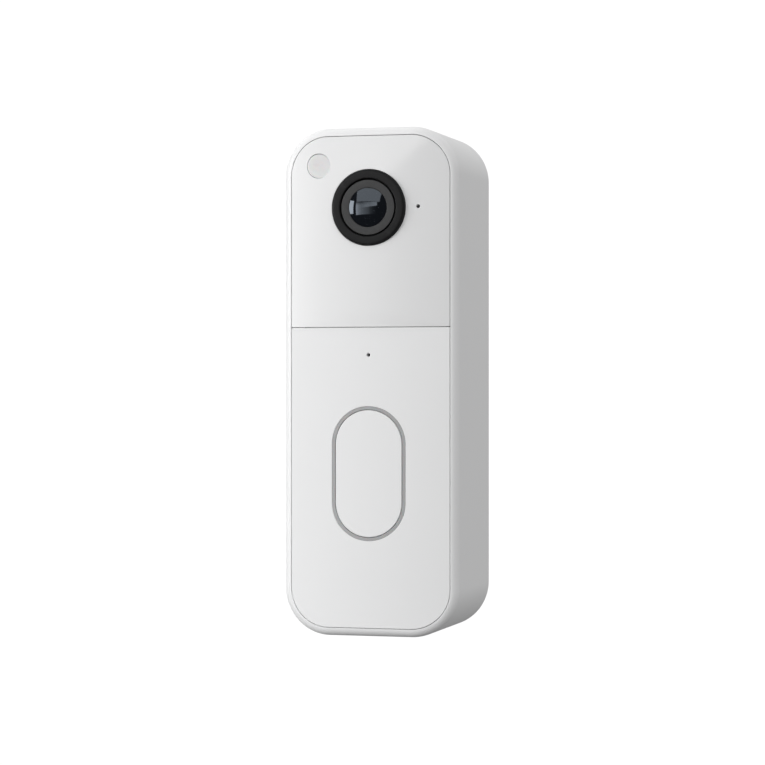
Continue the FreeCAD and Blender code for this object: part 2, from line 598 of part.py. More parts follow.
def cover_gasket():
    ring = cover_gasket_ring(HOUSING_BACK - COVER_GASKET_GROOVE, HOUSING_BACK)
    width = TUB_INSIDE_WIDTH - CELL_FIT
    bottom = TUB_BOTTOM + CELL_FIT / 2
    top = TUB_TOP - CELL_FIT / 2
    return ring.cut(span_slab(width, bottom, top, RIB_CORNER, 0.0, 2 * HOUSING_BACK))


def cover_screws():
    return group([pan_screw(x, z, COVER_BACK, COVER_SCREW_LENGTH) for x, z in COVER_SCREWS])


def cell_ends():
    """For each cell: its x, the height of its spring end, and +1 if its positive end is up."""
    half = CELL_PITCH / 2
    low = TUB_BOTTOM + CONTACT_THICKNESS + CELL_SPRING_LENGTH
    high = TUB_TOP - CONTACT_THICKNESS - CELL_SPRING_LENGTH
    return ((-half, low, 1), (half, high, -1))


def battery_cells():
    """Two AA cells side by side, one each way up."""
    cells = []
    for x, start, up in cell_ends():
        direction = Vector(0, 0, up)
        can = Part.makeCylinder(CELL_RADIUS, CELL_LENGTH, Vector(x, -CELL_DISTANCE, start), direction)
        can = can.makeFillet(CELL_ROUND, [edge for edge in can.Edges if edge.isClosed()])
        nub_start = Vector(x, -CELL_DISTANCE, start + up * CELL_LENGTH)
        nub = Part.makeCylinder(CELL_NUB_RADIUS, CELL_NUB_LENGTH, nub_start, direction)
        cells.append(can.fuse(nub))
    return group(cells)


def coil(radius, length, turns, wire, start, direction):
    """A compression spring wound from `start` along `direction`, as one swept wire."""
    helix = Part.makeLongHelix(length / turns, length, radius)
    section = Part.Wire(Part.makeCircle(wire, Vector(radius, 0, 0), Vector(0, 1, 0)))
    spring = Part.Wire(helix.Edges).makePipeShell([section], True, True)
    spring.Placement = FreeCAD.Placement(start, FreeCAD.Rotation(Vector(0, 0, 1), direction))
    return spring


def battery_springs():
    springs = []
    wire = CELL_SPRING_WIRE
    for x, end, up in cell_ends():
        length = CELL_SPRING_LENGTH - 2 * wire - CELL_FIT / 3
        start = Vector(x, -CELL_DISTANCE, end - up * (CELL_SPRING_LENGTH - wire))
        springs.append(coil(CELL_SPRING_RADIUS, length, CELL_SPRING_TURNS, wire, start, Vector(0, 0, up)))
    return group(springs)


def battery_contacts():
    """Four spring-steel plates, one at each end of each cell."""
    plates = []
    for side in (-1, 1):
        x = side * CELL_PITCH / 2
        for z in (TUB_BOTTOM, TUB_TOP - CONTACT_THICKNESS):
            plates.append(brick(x - CONTACT_WIDTH / 2, x + CONTACT_WIDTH / 2, CELL_DISTANCE - CONTACT_HEIGHT / 2,
                                CELL_DISTANCE + CONTACT_HEIGHT / 2, z, z + CONTACT_THICKNESS))
    return group(plates)


def terminal_plates():
    """A flat plate under each terminal screw, set a little outward of it."""
    plates = []
    for x in TERMINALS:
        plate = slab(*TERMINAL_PLATE_SIZE, TERMINAL_PLATE_THICKNESS, HOUSING_BACK - TERMINAL_PLATE_THICKNESS,
                     HOUSING_BACK, x * TERMINAL_PLATE_OUTWARD, TERMINAL_HEIGHT)
        plates.append(plate.cut(rod(SCREW_RADIUS + SCREW_FIT, 0, HOUSING_FRONT, x, TERMINAL_HEIGHT)))
    return group(plates)


def terminal_screws():
    back = HOUSING_BACK - TERMINAL_PLATE_THICKNESS - SCREW_RADIUS
    return group([pan_screw(x, TERMINAL_HEIGHT, back, TERMINAL_SCREW_LENGTH) for x in TERMINALS])


# ---- Wall plate and latch ------------------------------------------------------------------------
def wall_plate():
    plate = inner_slab(WALL + PLATE_FIT, 0.0, PLATE_THICKNESS)
    pegs = [rod(PEG_RADIUS, LATCH_BACK, PLATE_THICKNESS + PEG_REACH, x, z) for x, z in PEG_PLACES]
    pegs = [peg.makeChamfer(PEG_CHAMFER, [min(peg.Edges, key=lambda edge: edge.CenterOfMass.y)]) for peg in pegs]
    body = together([plate] + pegs)
    cuts = []
    for side in (-1, 1):
        z = SCREW_CENTRE + side * SCREW_SPACING / 2
        cuts.append(slab(2 * SCREW_HOLE_RADIUS, SCREW_SLOT_LENGTH, SCREW_HOLE_RADIUS, -1.0, BEYOND, 0.0, z))
        extra = SCREW_HEAD_RADIUS - SCREW_HOLE_RADIUS
        cuts.append(slab(2 * SCREW_HEAD_RADIUS, SCREW_SLOT_LENGTH + 2 * extra, SCREW_HEAD_RADIUS,
                         PLATE_THICKNESS - SCREW_HEAD_DEPTH, BEYOND, 0.0, z))
    cuts.append(slab(*WIRE_OPENING, WIRE_OPENING_CORNER, -1.0, BEYOND, 0.0, TERMINAL_HEIGHT))
    half = LATCH_WIDTH / 2 + LATCH_FIT
    guide_top = LATCH_TOP + LATCH_TRAVEL + LATCH_FIT
    cuts.append(brick(-half, half, LATCH_BACK - LATCH_FIT, BEYOND, PLATE_BOTTOM - 1, guide_top))
    wing = half + LATCH_WING + LATCH_FIT
    cuts.append(brick(-wing, wing, LATCH_BACK - LATCH_FIT, LATCH_BACK + LATCH_WING_THICKNESS + LATCH_FIT,
                      PLATE_BOTTOM + LATCH_HEIGHT / 2, guide_top))
    spring_half = LATCH_SPRING_RADIUS + LATCH_SPRING_WIRE + LATCH_FIT
    cuts.append(brick(-spring_half, spring_half, LATCH_BACK - LATCH_FIT, BEYOND, LATCH_TOP, LATCH_POCKET_TOP))
    return without(body, cuts)


def release_latch():
    """Sliding catch that holds the unit down, lifted with a pin from below."""
    half = LATCH_WIDTH / 2
    tongue = brick(-half, half, LATCH_BACK, PLATE_THICKNESS, PLATE_BOTTOM + LATCH_FIT, LATCH_TOP)
    wings = brick(-half - LATCH_WING, half + LATCH_WING, LATCH_BACK, LATCH_BACK + LATCH_WING_THICKNESS,
                  PLATE_BOTTOM + LATCH_HEIGHT / 2 + LATCH_FIT, LATCH_TOP)
    catch = brick(-CATCH_WIDTH / 2, CATCH_WIDTH / 2, LATCH_BACK, PLATE_THICKNESS,
                  BOTTOM + WALL - LATCH_CATCH, PLATE_BOTTOM + 1.0)
    return together([tongue, wings, catch])


def latch_spring():
    start = Vector(0, -(LATCH_BACK + LATCH_THICKNESS / 2), LATCH_TOP + LATCH_SPRING_WIRE)
    return coil(LATCH_SPRING_RADIUS, LATCH_SPRING_LENGTH - 2 * LATCH_SPRING_WIRE, LATCH_SPRING_TURNS,
                LATCH_SPRING_WIRE, start, Vector(0, 0, 1))


# ---- Press button --------------------------------------------------------------------------------
def light_ring():
    """Frosted ring round the button, with a flange behind the faceplate."""
    line = pill(RING_WIDTH, RING_LENGTH, RING_FLANGE_BACK, FACE_FRONT + BEYOND).common(crown_body())
    wider = 2 * RING_FLANGE_WIDTH
    flange = pill(RING_WIDTH + wider, RING_LENGTH + wider, RING_FLANGE_BACK, RING_FLANGE_FRONT)
    narrower = 2 * RING_LINE
    inside = pill(RING_WIDTH - narrower, RING_LENGTH - narrower, 0.0, 2 * FACE_FRONT)
    return together([line, flange]).cut(inside)


def button_cap():
    """The part a visitor presses, held from behind by its own flange."""
    narrower = 2 * (RING_LINE + CAP_FIT)
    cap = pill(RING_WIDTH - narrower, RING_LENGTH - narrower, CAP_FLANGE_BACK, FACE_FRONT + BEYOND)
    cap = cap.common(crown_body())
    wider = 2 * CAP_FLANGE
    flange = pill(RING_WIDTH - narrower + wider, RING_LENGTH - narrower + wider, CAP_FLANGE_BACK, CAP_FLANGE_FRONT)
    skin = FACE_FRONT - FACE_THICKNESS
    post = rod(CAP_POST_RADIUS, PLUNGER_FRONT + PLUNGER_GAP, skin + CAP_FIT, 0.0, BUTTON_HEIGHT)
    hollow_inset = narrower + 2 * CAP_SKIRT
    hollow = pill(RING_WIDTH - hollow_inset, RING_LENGTH - hollow_inset, CAP_FLANGE_BACK - 1, skin)
    return together([cap.fuse(flange).cut(hollow), post])


def light_guide():
    """Clear ring that carries the lamps' light from the board to the light ring."""
    outer = 2 * RING_FLANGE_WIDTH
    inner = outer - 2 * GUIDE_WIDTH
    back = BOARD_FRONT + GUIDE_ABOVE_BOARD
    guide = pill(RING_WIDTH + outer, RING_LENGTH + outer, back, RING_FLANGE_BACK)
    return guide.cut(pill(RING_WIDTH + inner, RING_LENGTH + inner, 0.0, 2 * FACE_FRONT))


def on_board(size, board, x, z):
    """A block of `size` (across, off the board, up) standing on the front of a board."""
    across, deep, tall = size
    return brick(x - across / 2, x + across / 2, board, board + deep, z - tall / 2, z + tall / 2)


def ring_lamps():
    """Small lamps on the button board, spaced round the light guide."""
    centre_x = RING_WIDTH / 2 + RING_FLANGE_WIDTH - GUIDE_WIDTH / 2
    straight = (RING_LENGTH - RING_WIDTH) / 2
    places = [(side * centre_x, BUTTON_HEIGHT + step * straight) for side in (-1, 1) for step in (-1, 0, 1)]
    places += [(0.0, BUTTON_HEIGHT + side * (straight + centre_x)) for side in (-1, 1)]
    return group([on_board(RING_LAMP_SIZE, BOARD_FRONT, x, z) for x, z in places])


def button_board():
    return span_slab(BUTTON_BOARD_WIDTH, BUTTON_BOARD_BOTTOM, BUTTON_BOARD_TOP, BUTTON_BOARD_CORNER, CHASSIS_FRONT,
                     BOARD_FRONT)


def button_switch():
    body = on_board((SWITCH_SIZE, SWITCH_HEIGHT, SWITCH_SIZE), BOARD_FRONT, 0.0, BUTTON_HEIGHT)
    well = rod(PLUNGER_RADIUS + SCREW_FIT, BOARD_FRONT + PLUNGER_SEAT, BOARD_FRONT + BEYOND, 0.0, BUTTON_HEIGHT)
    return body.cut(well)


def button_plunger():
    back = BOARD_FRONT + PLUNGER_SEAT + PLUNGER_TRAVEL + CAP_FIT
    return rod(PLUNGER_RADIUS, back, PLUNGER_FRONT, 0.0, BUTTON_HEIGHT)


# ---- Camera --------------------------------------------------------------------------------------
def on_lens_axis(shape):
    return shape.translated(Vector(0, 0, LENS_HEIGHT))


def lens_outer_ring():
    """Black ring round the lens, standing proud of the face."""
    ring = rod(LENS_RING_RADIUS, RING_BACK, RING_FRONT)
    rim = min(ring.Edges, key=lambda edge: edge.CenterOfMass.y)
    ring = ring.makeFillet(LENS_RING_ROUND, [rim])
    flange = rod(LENS_FLANGE_RADIUS, LENS_FLANGE_FRONT - LENS_FLANGE_THICKNESS, LENS_FLANGE_FRONT)
    body = together([ring, flange])
    front_bore = rod(RING_BORE_RADIUS, RETAINER_BACK, RING_FRONT + 1)
    barrel_bore = rod(BARREL_RADIUS + BARREL_FIT, 0, RING_FRONT)
    lamps = [rod(LAMP_RADIUS + LAMP_FIT, RING_BACK - 1, RING_FRONT - LAMP_COVER, side * LAMP_CIRCLE)
             for side in (-1, 1)]
    return on_lens_axis(without(body, [front_bore, barrel_bore] + lamps))


def lens_seal():
    """Foam ring between the black ring's flange and the back of the faceplate."""
    ring = pipe(LENS_FLANGE_RADIUS, LENS_RING_RADIUS + LENS_RING_FIT, LENS_FLANGE_FRONT, FACE_FRONT)
    return on_lens_axis(ring).common(crown_body(FACE_THICKNESS))


def lens_retainer():
    """Dark grey threaded ring that clamps the front lens."""
    return on_lens_axis(pipe(RETAINER_RADIUS, GLASS_RADIUS + GLASS_FIT, RETAINER_BACK, RETAINER_FRONT))


def front_lens():
    """Outer glass with a domed front."""
    sphere_radius = (GLASS_RADIUS ** 2 + GLASS_DOME ** 2) / (2 * GLASS_DOME)
    cylinder = rod(GLASS_RADIUS, GLASS_BACK, GLASS_EDGE + 2 * GLASS_DOME)
    ball = Part.makeSphere(sphere_radius, Vector(0, -(GLASS_EDGE + GLASS_DOME - sphere_radius), 0))
    return on_lens_axis(cylinder.common(ball))


def lens_barrel():
    barrel = pipe(BARREL_RADIUS, ELEMENT_RADIUS, BARREL_BACK, GLASS_BACK)
    wall, depth = BARREL_MOUTH
    return on_lens_axis(barrel.cut(rod(BARREL_RADIUS - wall, BARREL_BACK - 1, BARREL_BACK + depth)))


def inner_lenses():
    """The lenses stacked inside the barrel."""
    lenses = []
    for drop, thickness in ELEMENT_PLACES:
        back = GLASS_BACK - drop
        blank = rod(ELEMENT_RADIUS, back, back + thickness)
        bulge = thickness * ELEMENT_BULGE
        sphere_radius = (ELEMENT_RADIUS ** 2 + bulge ** 2) / (2 * bulge)
        ball = Part.makeSphere(sphere_radius, Vector(0, -(back + thickness - sphere_radius), 0))
        lenses.append(on_lens_axis(blank.common(ball)))
    return group(lenses)


def camera_block(size, back, front):
    half = size / 2
    return on_lens_axis(brick(-half, half, back, front, -half, half))


def camera_housing():
    """Box behind the barrel that holds the day and night filter."""
    box = camera_block(CAMERA_BOX, CAMERA_BOX_BACK, BARREL_BACK)
    wall = CAMERA_BOX_WALL
    inside = camera_block(CAMERA_BOX - 2 * wall, CAMERA_BOX_BACK - 1, BARREL_BACK - wall)
    light_path = on_lens_axis(rod(ELEMENT_RADIUS - LIGHT_PATH_STEP, BARREL_BACK - 2 * wall, BARREL_BACK + 1))
    return without(box, [inside, light_path])


def filter_frame():
    """Frame that slides the filter glass out of the light path at night."""
    back = CAMERA_BOX_BACK + SENSOR_THICKNESS + FILTER_GAP
    outer = camera_block(FILTER_SIZE + 2 * FILTER_RIM, back, back + FILTER_THICKNESS)
    return outer.cut(camera_block(FILTER_SIZE, back - 1, back + 1 + FILTER_THICKNESS))


def filter_glass():
    back = CAMERA_BOX_BACK + SENSOR_THICKNESS + FILTER_GAP
    return camera_block(FILTER_SIZE, back, back + FILTER_THICKNESS)


def image_sensor():
    return camera_block(SENSOR_SIZE, CAMERA_BOX_BACK, CAMERA_BOX_BACK + SENSOR_THICKNESS)


def camera_board():
    return camera_block(CAMERA_BOX, CAMERA_BOX_BACK - CAMERA_BOARD_THICKNESS, CAMERA_BOX_BACK)


def infrared_lamps():
    """Two night lamps shining through the black ring."""
    front = RING_FRONT - 2 * LAMP_COVER
    return group([on_lens_axis(rod(LAMP_RADIUS, RING_BACK + LAMP_COVER, front, side * LAMP_CIRCLE))
                  for side in (-1, 1)])


def camera_cable():
    """Flat flexible cable from the camera board to the main board."""
    thin = CABLE_THICKNESS
    half = CABLE_WIDTH / 2
    edge = CAMERA_BOX_BOTTOM
    back = CAMERA_BOX_BACK - CAMERA_BOARD_THICKNESS
    run = brick(-half, half, back - thin, MAIN_BOARD_BACK, edge - 2 * thin, edge - thin)
    upper_end = brick(-half, half, back - thin, back, edge - 2 * thin, edge + CABLE_LAP)
    lower_end = brick(-half, half, MAIN_BOARD_BACK - thin, MAIN_BOARD_BACK, edge - CABLE_LAP, edge - thin)
    return together([run, upper_end, lower_end])


# ---- Sensors behind the face ---------------------------------------------------------------------
def motion_window():
    """Small frosted lens over the motion sensor, slightly domed."""
    front = crown_front(MOTION_X)
    disc = rod(MOTION_RADIUS, front - MOTION_THICKNESS, front + MOTION_DOME + 1, MOTION_X, MOTION_HEIGHT)
    sphere_radius = (MOTION_RADIUS ** 2 + MOTION_DOME ** 2) / (2 * MOTION_DOME)
    ball = Part.makeSphere(sphere_radius, Vector(MOTION_X, -(front + MOTION_DOME - sphere_radius), MOTION_HEIGHT))
    return disc.common(ball)


def motion_sensor():
    wider, foot = MOTION_CAN_RIM
    can = rod(MOTION_CAN_RADIUS, CHASSIS_FRONT, CHASSIS_FRONT + MOTION_CAN_HEIGHT, MOTION_X, MOTION_HEIGHT)
    return can.fuse(rod(MOTION_CAN_RADIUS + wider, CHASSIS_FRONT, CHASSIS_FRONT + foot, MOTION_X, MOTION_HEIGHT))


def light_pipe():
    """Clear pin that leads daylight to the light sensor."""
    back = CHASSIS_FRONT + LIGHT_SENSOR_SIZE[1] + LIGHT_SENSOR_GAP
    return rod(LIGHT_PIPE_RADIUS, back, crown_front(LIGHT_X), LIGHT_X, LIGHT_HEIGHT)


def light_sensor():
    across, tall = LIGHT_SENSOR_SIZE
    return on_board((across, tall, across), CHASSIS_FRONT, LIGHT_X, LIGHT_HEIGHT)


def microphone():
    return on_board(MICROPHONE_SIZE, BOARD_FRONT, 0.0, MICROPHONE_HEIGHT)


def microphone_boot():
    """Rubber tube from the microphone to the hole in the face."""
    back = BOARD_FRONT + MICROPHONE_SIZE[1]
    boot = rod(BOOT_RADIUS, back, FACE_FRONT, 0.0, MICROPHONE_HEIGHT).common(crown_body(FACE_THICKNESS))
    return boot.cut(rod(MICROPHONE_RADIUS, 0, FACE_FRONT, 0.0, MICROPHONE_HEIGHT))


# ---- Chassis and boards --------------------------------------------------------------------------
def inner_chassis():
    """Carrier behind the faceplates; its bosses take the housing screws."""
    plate = inner_slab(WALL + CHASSIS_FIT, CHASSIS_BACK, CHASSIS_FRONT)
    rim = inner_slab(WALL + CHASSIS_FIT, CHASSIS_FRONT, LEDGE_BACK)
    rim = rim.cut(inner_slab(WALL + LEDGE_WIDTH, 0.0, LEDGE_BACK + 1))
    bosses = [rod(BOSS_RADIUS, HOUSING_FRONT, CHASSIS_FRONT, x, z) for x, z in BOSSES]
    pads = [rod(BOARD_PAD_RADIUS, MAIN_BOARD_BACK + BOARD_THICKNESS, CHASSIS_BACK, x, z) for x, z in board_screw_places()]
    body = together([plate, rim] + bosses + pads)
    window = camera_block(CAMERA_WINDOW, 0.0, FACE_FRONT)
    screw_end = HOUSING_BACK + SCREW_RADIUS + HOUSING_SCREW_LENGTH + 1
    holes = [rod(SCREW_RADIUS + SCREW_FIT, HOUSING_BACK, screw_end, x, z) for x, z in BOSSES]
    holes += [rod(BOARD_SCREW_RADIUS, MAIN_BOARD_BACK, BOARD_SCREW_END + SCREW_FIT, x, z)
              for x, z in board_screw_places()]
    return without(body, [window] + holes)


def board_screw_places():
    """The four board screws, clear of the tub, the camera and the chassis bosses."""
    x = BOARD_SCREW_X
    top = LENS_HEIGHT + CAMERA_WINDOW / 2 + BOARD_SCREW_ABOVE
    low = LENS_HEIGHT - CAMERA_WINDOW / 2 - BOARD_SCREW_BELOW
    return tuple((side * x, z) for side in (-1, 1) for z in (low, top))


def main_board_outline(back, front):
    top = TOP - MAIN_BOARD_INSET
    inset = WALL + LEDGE_WIDTH
    return inner_slab(inset, back, front).common(brick(-WIDTH, WIDTH, back, front, top - MAIN_BOARD_LENGTH, top))


def main_board():
    board = main_board_outline(MAIN_BOARD_BACK, MAIN_BOARD_BACK + BOARD_THICKNESS)
    window = camera_block(CAMERA_WINDOW, 0.0, FACE_FRONT)
    notches = [rod(BOSS_RADIUS + BOSS_FIT, 0.0, FACE_FRONT, x, z) for x, z in BOSSES]
    holes = [rod(BOARD_SCREW_RADIUS, 0.0, FACE_FRONT, x, z) for x, z in board_screw_places()]
    return without(board, [window] + notches + holes)


def board_screws():
    screws = []
    radius, height = BOARD_SCREW_HEAD
    for x, z in board_screw_places():
        head = rod(radius, MAIN_BOARD_BACK - height, MAIN_BOARD_BACK, x, z)
        shank = rod(BOARD_SCREW_RADIUS, MAIN_BOARD_BACK, BOARD_SCREW_END - SCREW_FIT, x, z)
        screws.append(head.fuse(shank))
    return group(screws)


def behind_board(size, x, z):
    """A block of `size` (across, off the board, up) on the rear side of the main board."""
    across, deep, tall = size
    return brick(x - across / 2, x + across / 2, MAIN_BOARD_BACK - deep, MAIN_BOARD_BACK, z - tall / 2, z + tall / 2)


def shield_can():
    """Thin metal lid over the radio chip."""
    across, deep, tall = SHIELD_SIZE
    inside = (across - 2 * SHIELD_SHEET, deep - SHIELD_SHEET, tall - 2 * SHIELD_SHEET)
    z = RESET_HEIGHT + RADIO_RISE
    return behind_board(SHIELD_SIZE, SHIELD_X, z).cut(behind_board(inside, SHIELD_X, z))


def board_chips():
    memory_z = TOP - MAIN_BOARD_INSET - MEMORY_FROM_EDGE - MEMORY_SIZE[2] / 2
    return group([behind_board(RADIO_SIZE, SHIELD_X, RESET_HEIGHT + RADIO_RISE),
                  behind_board(PROCESSOR_SIZE, PROCESSOR_X, RESET_HEIGHT + PROCESSOR_RISE),
                  behind_board(MEMORY_SIZE, -MEMORY_SIZE[0] / 2, memory_z)])


def antenna():
    """Bent metal strip on the upper edge of the main board."""
    top = TOP - MAIN_BOARD_INSET
    across, reach = ANTENNA_SIZE
    foot = behind_board((across, ANTENNA_SHEET, ANTENNA_FOOT), ANTENNA_X, top - ANTENNA_FOOT / 2)
    blade = behind_board((across, reach, ANTENNA_SHEET), ANTENNA_X, top - ANTENNA_SHEET / 2)
    return together([foot, blade])


def board_cable():
    """Flat cable from the main board, through the chassis, to the button board."""
    left = BOARD_CABLE_X - CABLE_WIDTH / 2
    right = BOARD_CABLE_X + CABLE_WIDTH / 2
    front = BOARD_FRONT + CABLE_THICKNESS
    top = BUTTON_BOARD_TOP + BOARD_CABLE_RISE
    lap = brick(left, right, BOARD_FRONT, front, BUTTON_BOARD_TOP - BOARD_CABLE_LAP, top)
    return lap.fuse(brick(left, right, CHASSIS_FRONT, front, top, top + CABLE_THICKNESS)).removeSplitter()


# ---- Speaker -------------------------------------------------------------------------------------
def upright_pipe(outer, inner, bottom, top):
    bar = upright_rod(outer, bottom, top, 0.0, SPEAKER_DISTANCE)
    return bar.cut(upright_rod(inner, bottom - 1, top + 1, 0.0, SPEAKER_DISTANCE))


def speaker_mesh():
    """Fine screen inside the sound slots."""
    half = MESH_WIDTH / 2
    return brick(-SPEAKER_RADIUS, SPEAKER_RADIUS, SPEAKER_DISTANCE - half, SPEAKER_DISTANCE + half,
                 BOTTOM + WALL, MESH_TOP)


def speaker_seal():
    return upright_pipe(SPEAKER_RADIUS, SPEAKER_RADIUS - SPEAKER_SEAL_WIDTH, MESH_TOP, SPEAKER_BOTTOM)


def speaker_basket():
    wall = upright_pipe(SPEAKER_RADIUS, SPEAKER_RADIUS - SPEAKER_WALL, SPEAKER_BOTTOM, SPEAKER_TOP)
    back = upright_rod(SPEAKER_RADIUS, SPEAKER_TOP - SPEAKER_WALL, SPEAKER_TOP, 0.0, SPEAKER_DISTANCE)
    return together([wall, back])


def speaker_magnet():
    """Magnet pot whose ring gap the voice coil moves in."""
    top = SPEAKER_TOP - SPEAKER_WALL
    gap_outer = COIL_RADIUS + COIL_WALL / 2 + COIL_FIT
    gap_inner = COIL_RADIUS - COIL_WALL / 2 - COIL_FIT
    outer = gap_outer + MAGNET_WALL
    pot = upright_pipe(outer, gap_outer, top - MAGNET_HEIGHT, top)
    pole = upright_rod(gap_inner, top - MAGNET_HEIGHT, top, 0.0, SPEAKER_DISTANCE)
    yoke = upright_rod(outer, top - YOKE_THICKNESS, top, 0.0, SPEAKER_DISTANCE)
    return together([pot, pole, yoke])


def speaker_cone():
    """Cone with its voice coil; the coil's end stays clear of the magnet's yoke."""
    rim_radius = SPEAKER_RADIUS - SPEAKER_WALL - COIL_FIT
    coil_outer = COIL_RADIUS + COIL_WALL / 2
    bottom = SPEAKER_BOTTOM + CONE_TRAVEL + CONE_CLEARANCE
    centre = Vector(0, -SPEAKER_DISTANCE, bottom)
    outside = Part.makeCone(rim_radius, coil_outer, CONE_RISE, centre)
    inside = Part.makeCone(rim_radius, coil_outer, CONE_RISE, centre - Vector(0, 0, CONE_SKIN))
    rim_width, rim_thickness = CONE_RIM
    rim_bottom = bottom - rim_thickness / 4
    rim = upright_pipe(rim_radius, rim_radius - rim_width, rim_bottom, rim_bottom + rim_thickness)
    top = bottom + CONE_RISE
    dome = upright_rod(coil_outer, top - CONE_SKIN, top, 0.0, SPEAKER_DISTANCE)
    coil_end = SPEAKER_TOP - SPEAKER_WALL - YOKE_THICKNESS - CONE_TRAVEL - CONE_CLEARANCE
    tube = upright_pipe(coil_outer, coil_outer - COIL_WALL, top - CONE_SKIN, coil_end)
    return together([outside.cut(inside), rim, dome, tube])


# ---- Reset button --------------------------------------------------------------------------------
def reset_button():
    """Pressed from behind, under the battery cover."""
    wider, thick = RESET_FLANGE
    back = HOUSING_FRONT + RESET_CLEARANCE
    head = rod(RESET_RADIUS, HOUSING_BACK + RESET_DEPTH, back + thick + RESET_CLEARANCE, 0.0, RESET_HEIGHT)
    flange = rod(RESET_RADIUS + wider, back, back + thick, 0.0, RESET_HEIGHT)
    stem = rod(RESET_STEM_RADIUS, HOUSING_FRONT, RESET_PLUNGER_BACK - PLUNGER_GAP, 0.0, RESET_HEIGHT)
    return together([head, flange, stem])


def reset_switch():
    across, deep = RESET_SWITCH_SIZE
    body = behind_board((across, deep, across), 0.0, RESET_HEIGHT)
    well = rod(RESET_PLUNGER_RADIUS + SCREW_FIT, RESET_SWITCH_BACK - 1, MAIN_BOARD_BACK - RESET_SWITCH_FLOOR, 0.0,
               RESET_HEIGHT)
    return body.cut(well)


def reset_plunger():
    front = MAIN_BOARD_BACK - RESET_SWITCH_FLOOR - PLUNGER_SHARE * RESET_TRAVEL - CAP_FIT
    return rod(RESET_PLUNGER_RADIUS, RESET_PLUNGER_BACK, front, 0.0, RESET_HEIGHT)


PIECES = (
    outer_frame, upper_faceplate, lower_faceplate, face_gasket, rear_housing, housing_seal, housing_screws,
    battery_cover, cover_gasket, cover_screws, battery_cells, battery_springs, battery_contacts,
    terminal_plates, terminal_screws, wall_plate, release_latch, latch_spring,
    light_ring, button_cap, light_guide, ring_lamps, button_board, button_switch, button_plunger,
    lens_outer_ring, lens_seal, lens_retainer, front_lens, lens_barrel, inner_lenses, camera_housing,
    filter_frame, filter_glass, image_sensor, camera_board, infrared_lamps, camera_cable,
    motion_window, motion_sensor, light_pipe, light_sensor, microphone, microphone_boot,
    inner_chassis, main_board, board_screws, shield_can, board_chips, antenna, board_cable,
    speaker_mesh, speaker_seal, speaker_basket, speaker_magnet, speaker_cone,
    reset_button, reset_switch, reset_plunger,
)

os.makedirs("parts", exist_ok=True)
for piece in PIECES:
    shape = piece()
    solids = len(shape.Solids)
    print(f"{piece.__name__}: {solids} solid(s), {shape.Volume:.2f} mm3, valid {shape.isValid()}")
    shape.exportStep(f"parts/{piece.__name__}.step")
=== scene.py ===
# %% [markdown]
# # A video doorbell, dressed for its portrait
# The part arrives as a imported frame: about sixty pieces that already sit where they
# belong and already know how they move. This file gives every visible piece its final
# mesh and its finish. We load the frame first and keep its box, because nothing that
# we add may grow the object.

import json
import math

import bmesh
import bpy
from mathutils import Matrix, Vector
from mathutils.geometry import delaunay_2d_cdt

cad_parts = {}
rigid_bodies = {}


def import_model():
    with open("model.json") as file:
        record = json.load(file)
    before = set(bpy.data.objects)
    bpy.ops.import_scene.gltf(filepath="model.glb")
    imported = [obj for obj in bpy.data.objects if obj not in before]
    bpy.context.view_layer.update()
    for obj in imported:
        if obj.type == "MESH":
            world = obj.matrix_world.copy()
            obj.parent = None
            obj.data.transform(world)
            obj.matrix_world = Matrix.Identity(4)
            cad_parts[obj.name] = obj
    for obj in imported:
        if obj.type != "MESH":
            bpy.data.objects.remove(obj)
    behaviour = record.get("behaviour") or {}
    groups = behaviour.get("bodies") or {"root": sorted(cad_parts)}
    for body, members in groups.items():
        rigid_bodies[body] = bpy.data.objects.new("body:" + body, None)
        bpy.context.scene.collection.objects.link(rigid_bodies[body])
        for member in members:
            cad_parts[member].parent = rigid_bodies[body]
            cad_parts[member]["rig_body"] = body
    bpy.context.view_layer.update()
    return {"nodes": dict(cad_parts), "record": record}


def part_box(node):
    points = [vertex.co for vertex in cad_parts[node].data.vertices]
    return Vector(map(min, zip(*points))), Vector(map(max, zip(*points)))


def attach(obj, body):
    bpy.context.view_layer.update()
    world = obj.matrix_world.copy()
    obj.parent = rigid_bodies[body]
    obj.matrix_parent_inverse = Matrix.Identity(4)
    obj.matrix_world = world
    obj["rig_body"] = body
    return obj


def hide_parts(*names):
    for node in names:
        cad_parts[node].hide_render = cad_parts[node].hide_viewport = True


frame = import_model()
MM = 0.001
print("nodes:", len(frame["nodes"]))

# %% [markdown]
# The camera looks at the doorbell from a little to its right, level with its middle.
# A long lens from about two thirds of a metre keeps the upright edges parallel, as a
# product photographer would. The small shift places the object in the picture the way
# a view camera's rising front does, without tilting anything.

# %% Camera
CAMERA_AZIMUTH = math.radians(15.8)
CAMERA_DISTANCE = 659 * MM
CAMERA_LENS = 118.7
CAMERA_SHIFT = (-0.0046, -0.0007)

case_low, case_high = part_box("outer_frame")
case_middle = 19 * MM     # half way from the wall to the face
camera_data = bpy.data.cameras.new("camera")
camera_data.lens = CAMERA_LENS
camera_data.sensor_width = 36.0
camera_data.shift_x, camera_data.shift_y = CAMERA_SHIFT
camera_data.clip_start = 0.01
camera_data.clip_end = 100.0
camera = bpy.data.objects.new("camera", camera_data)
bpy.context.scene.collection.objects.link(camera)
camera.location = (math.sin(CAMERA_AZIMUTH) * CAMERA_DISTANCE,
                   -math.cos(CAMERA_AZIMUTH) * CAMERA_DISTANCE - case_middle, 0.0)
camera.rotation_euler = (math.radians(90), 0.0, CAMERA_AZIMUTH)
bpy.context.scene.camera = camera
print("camera stands", round(camera.location.length, 3), "m from the wall face")

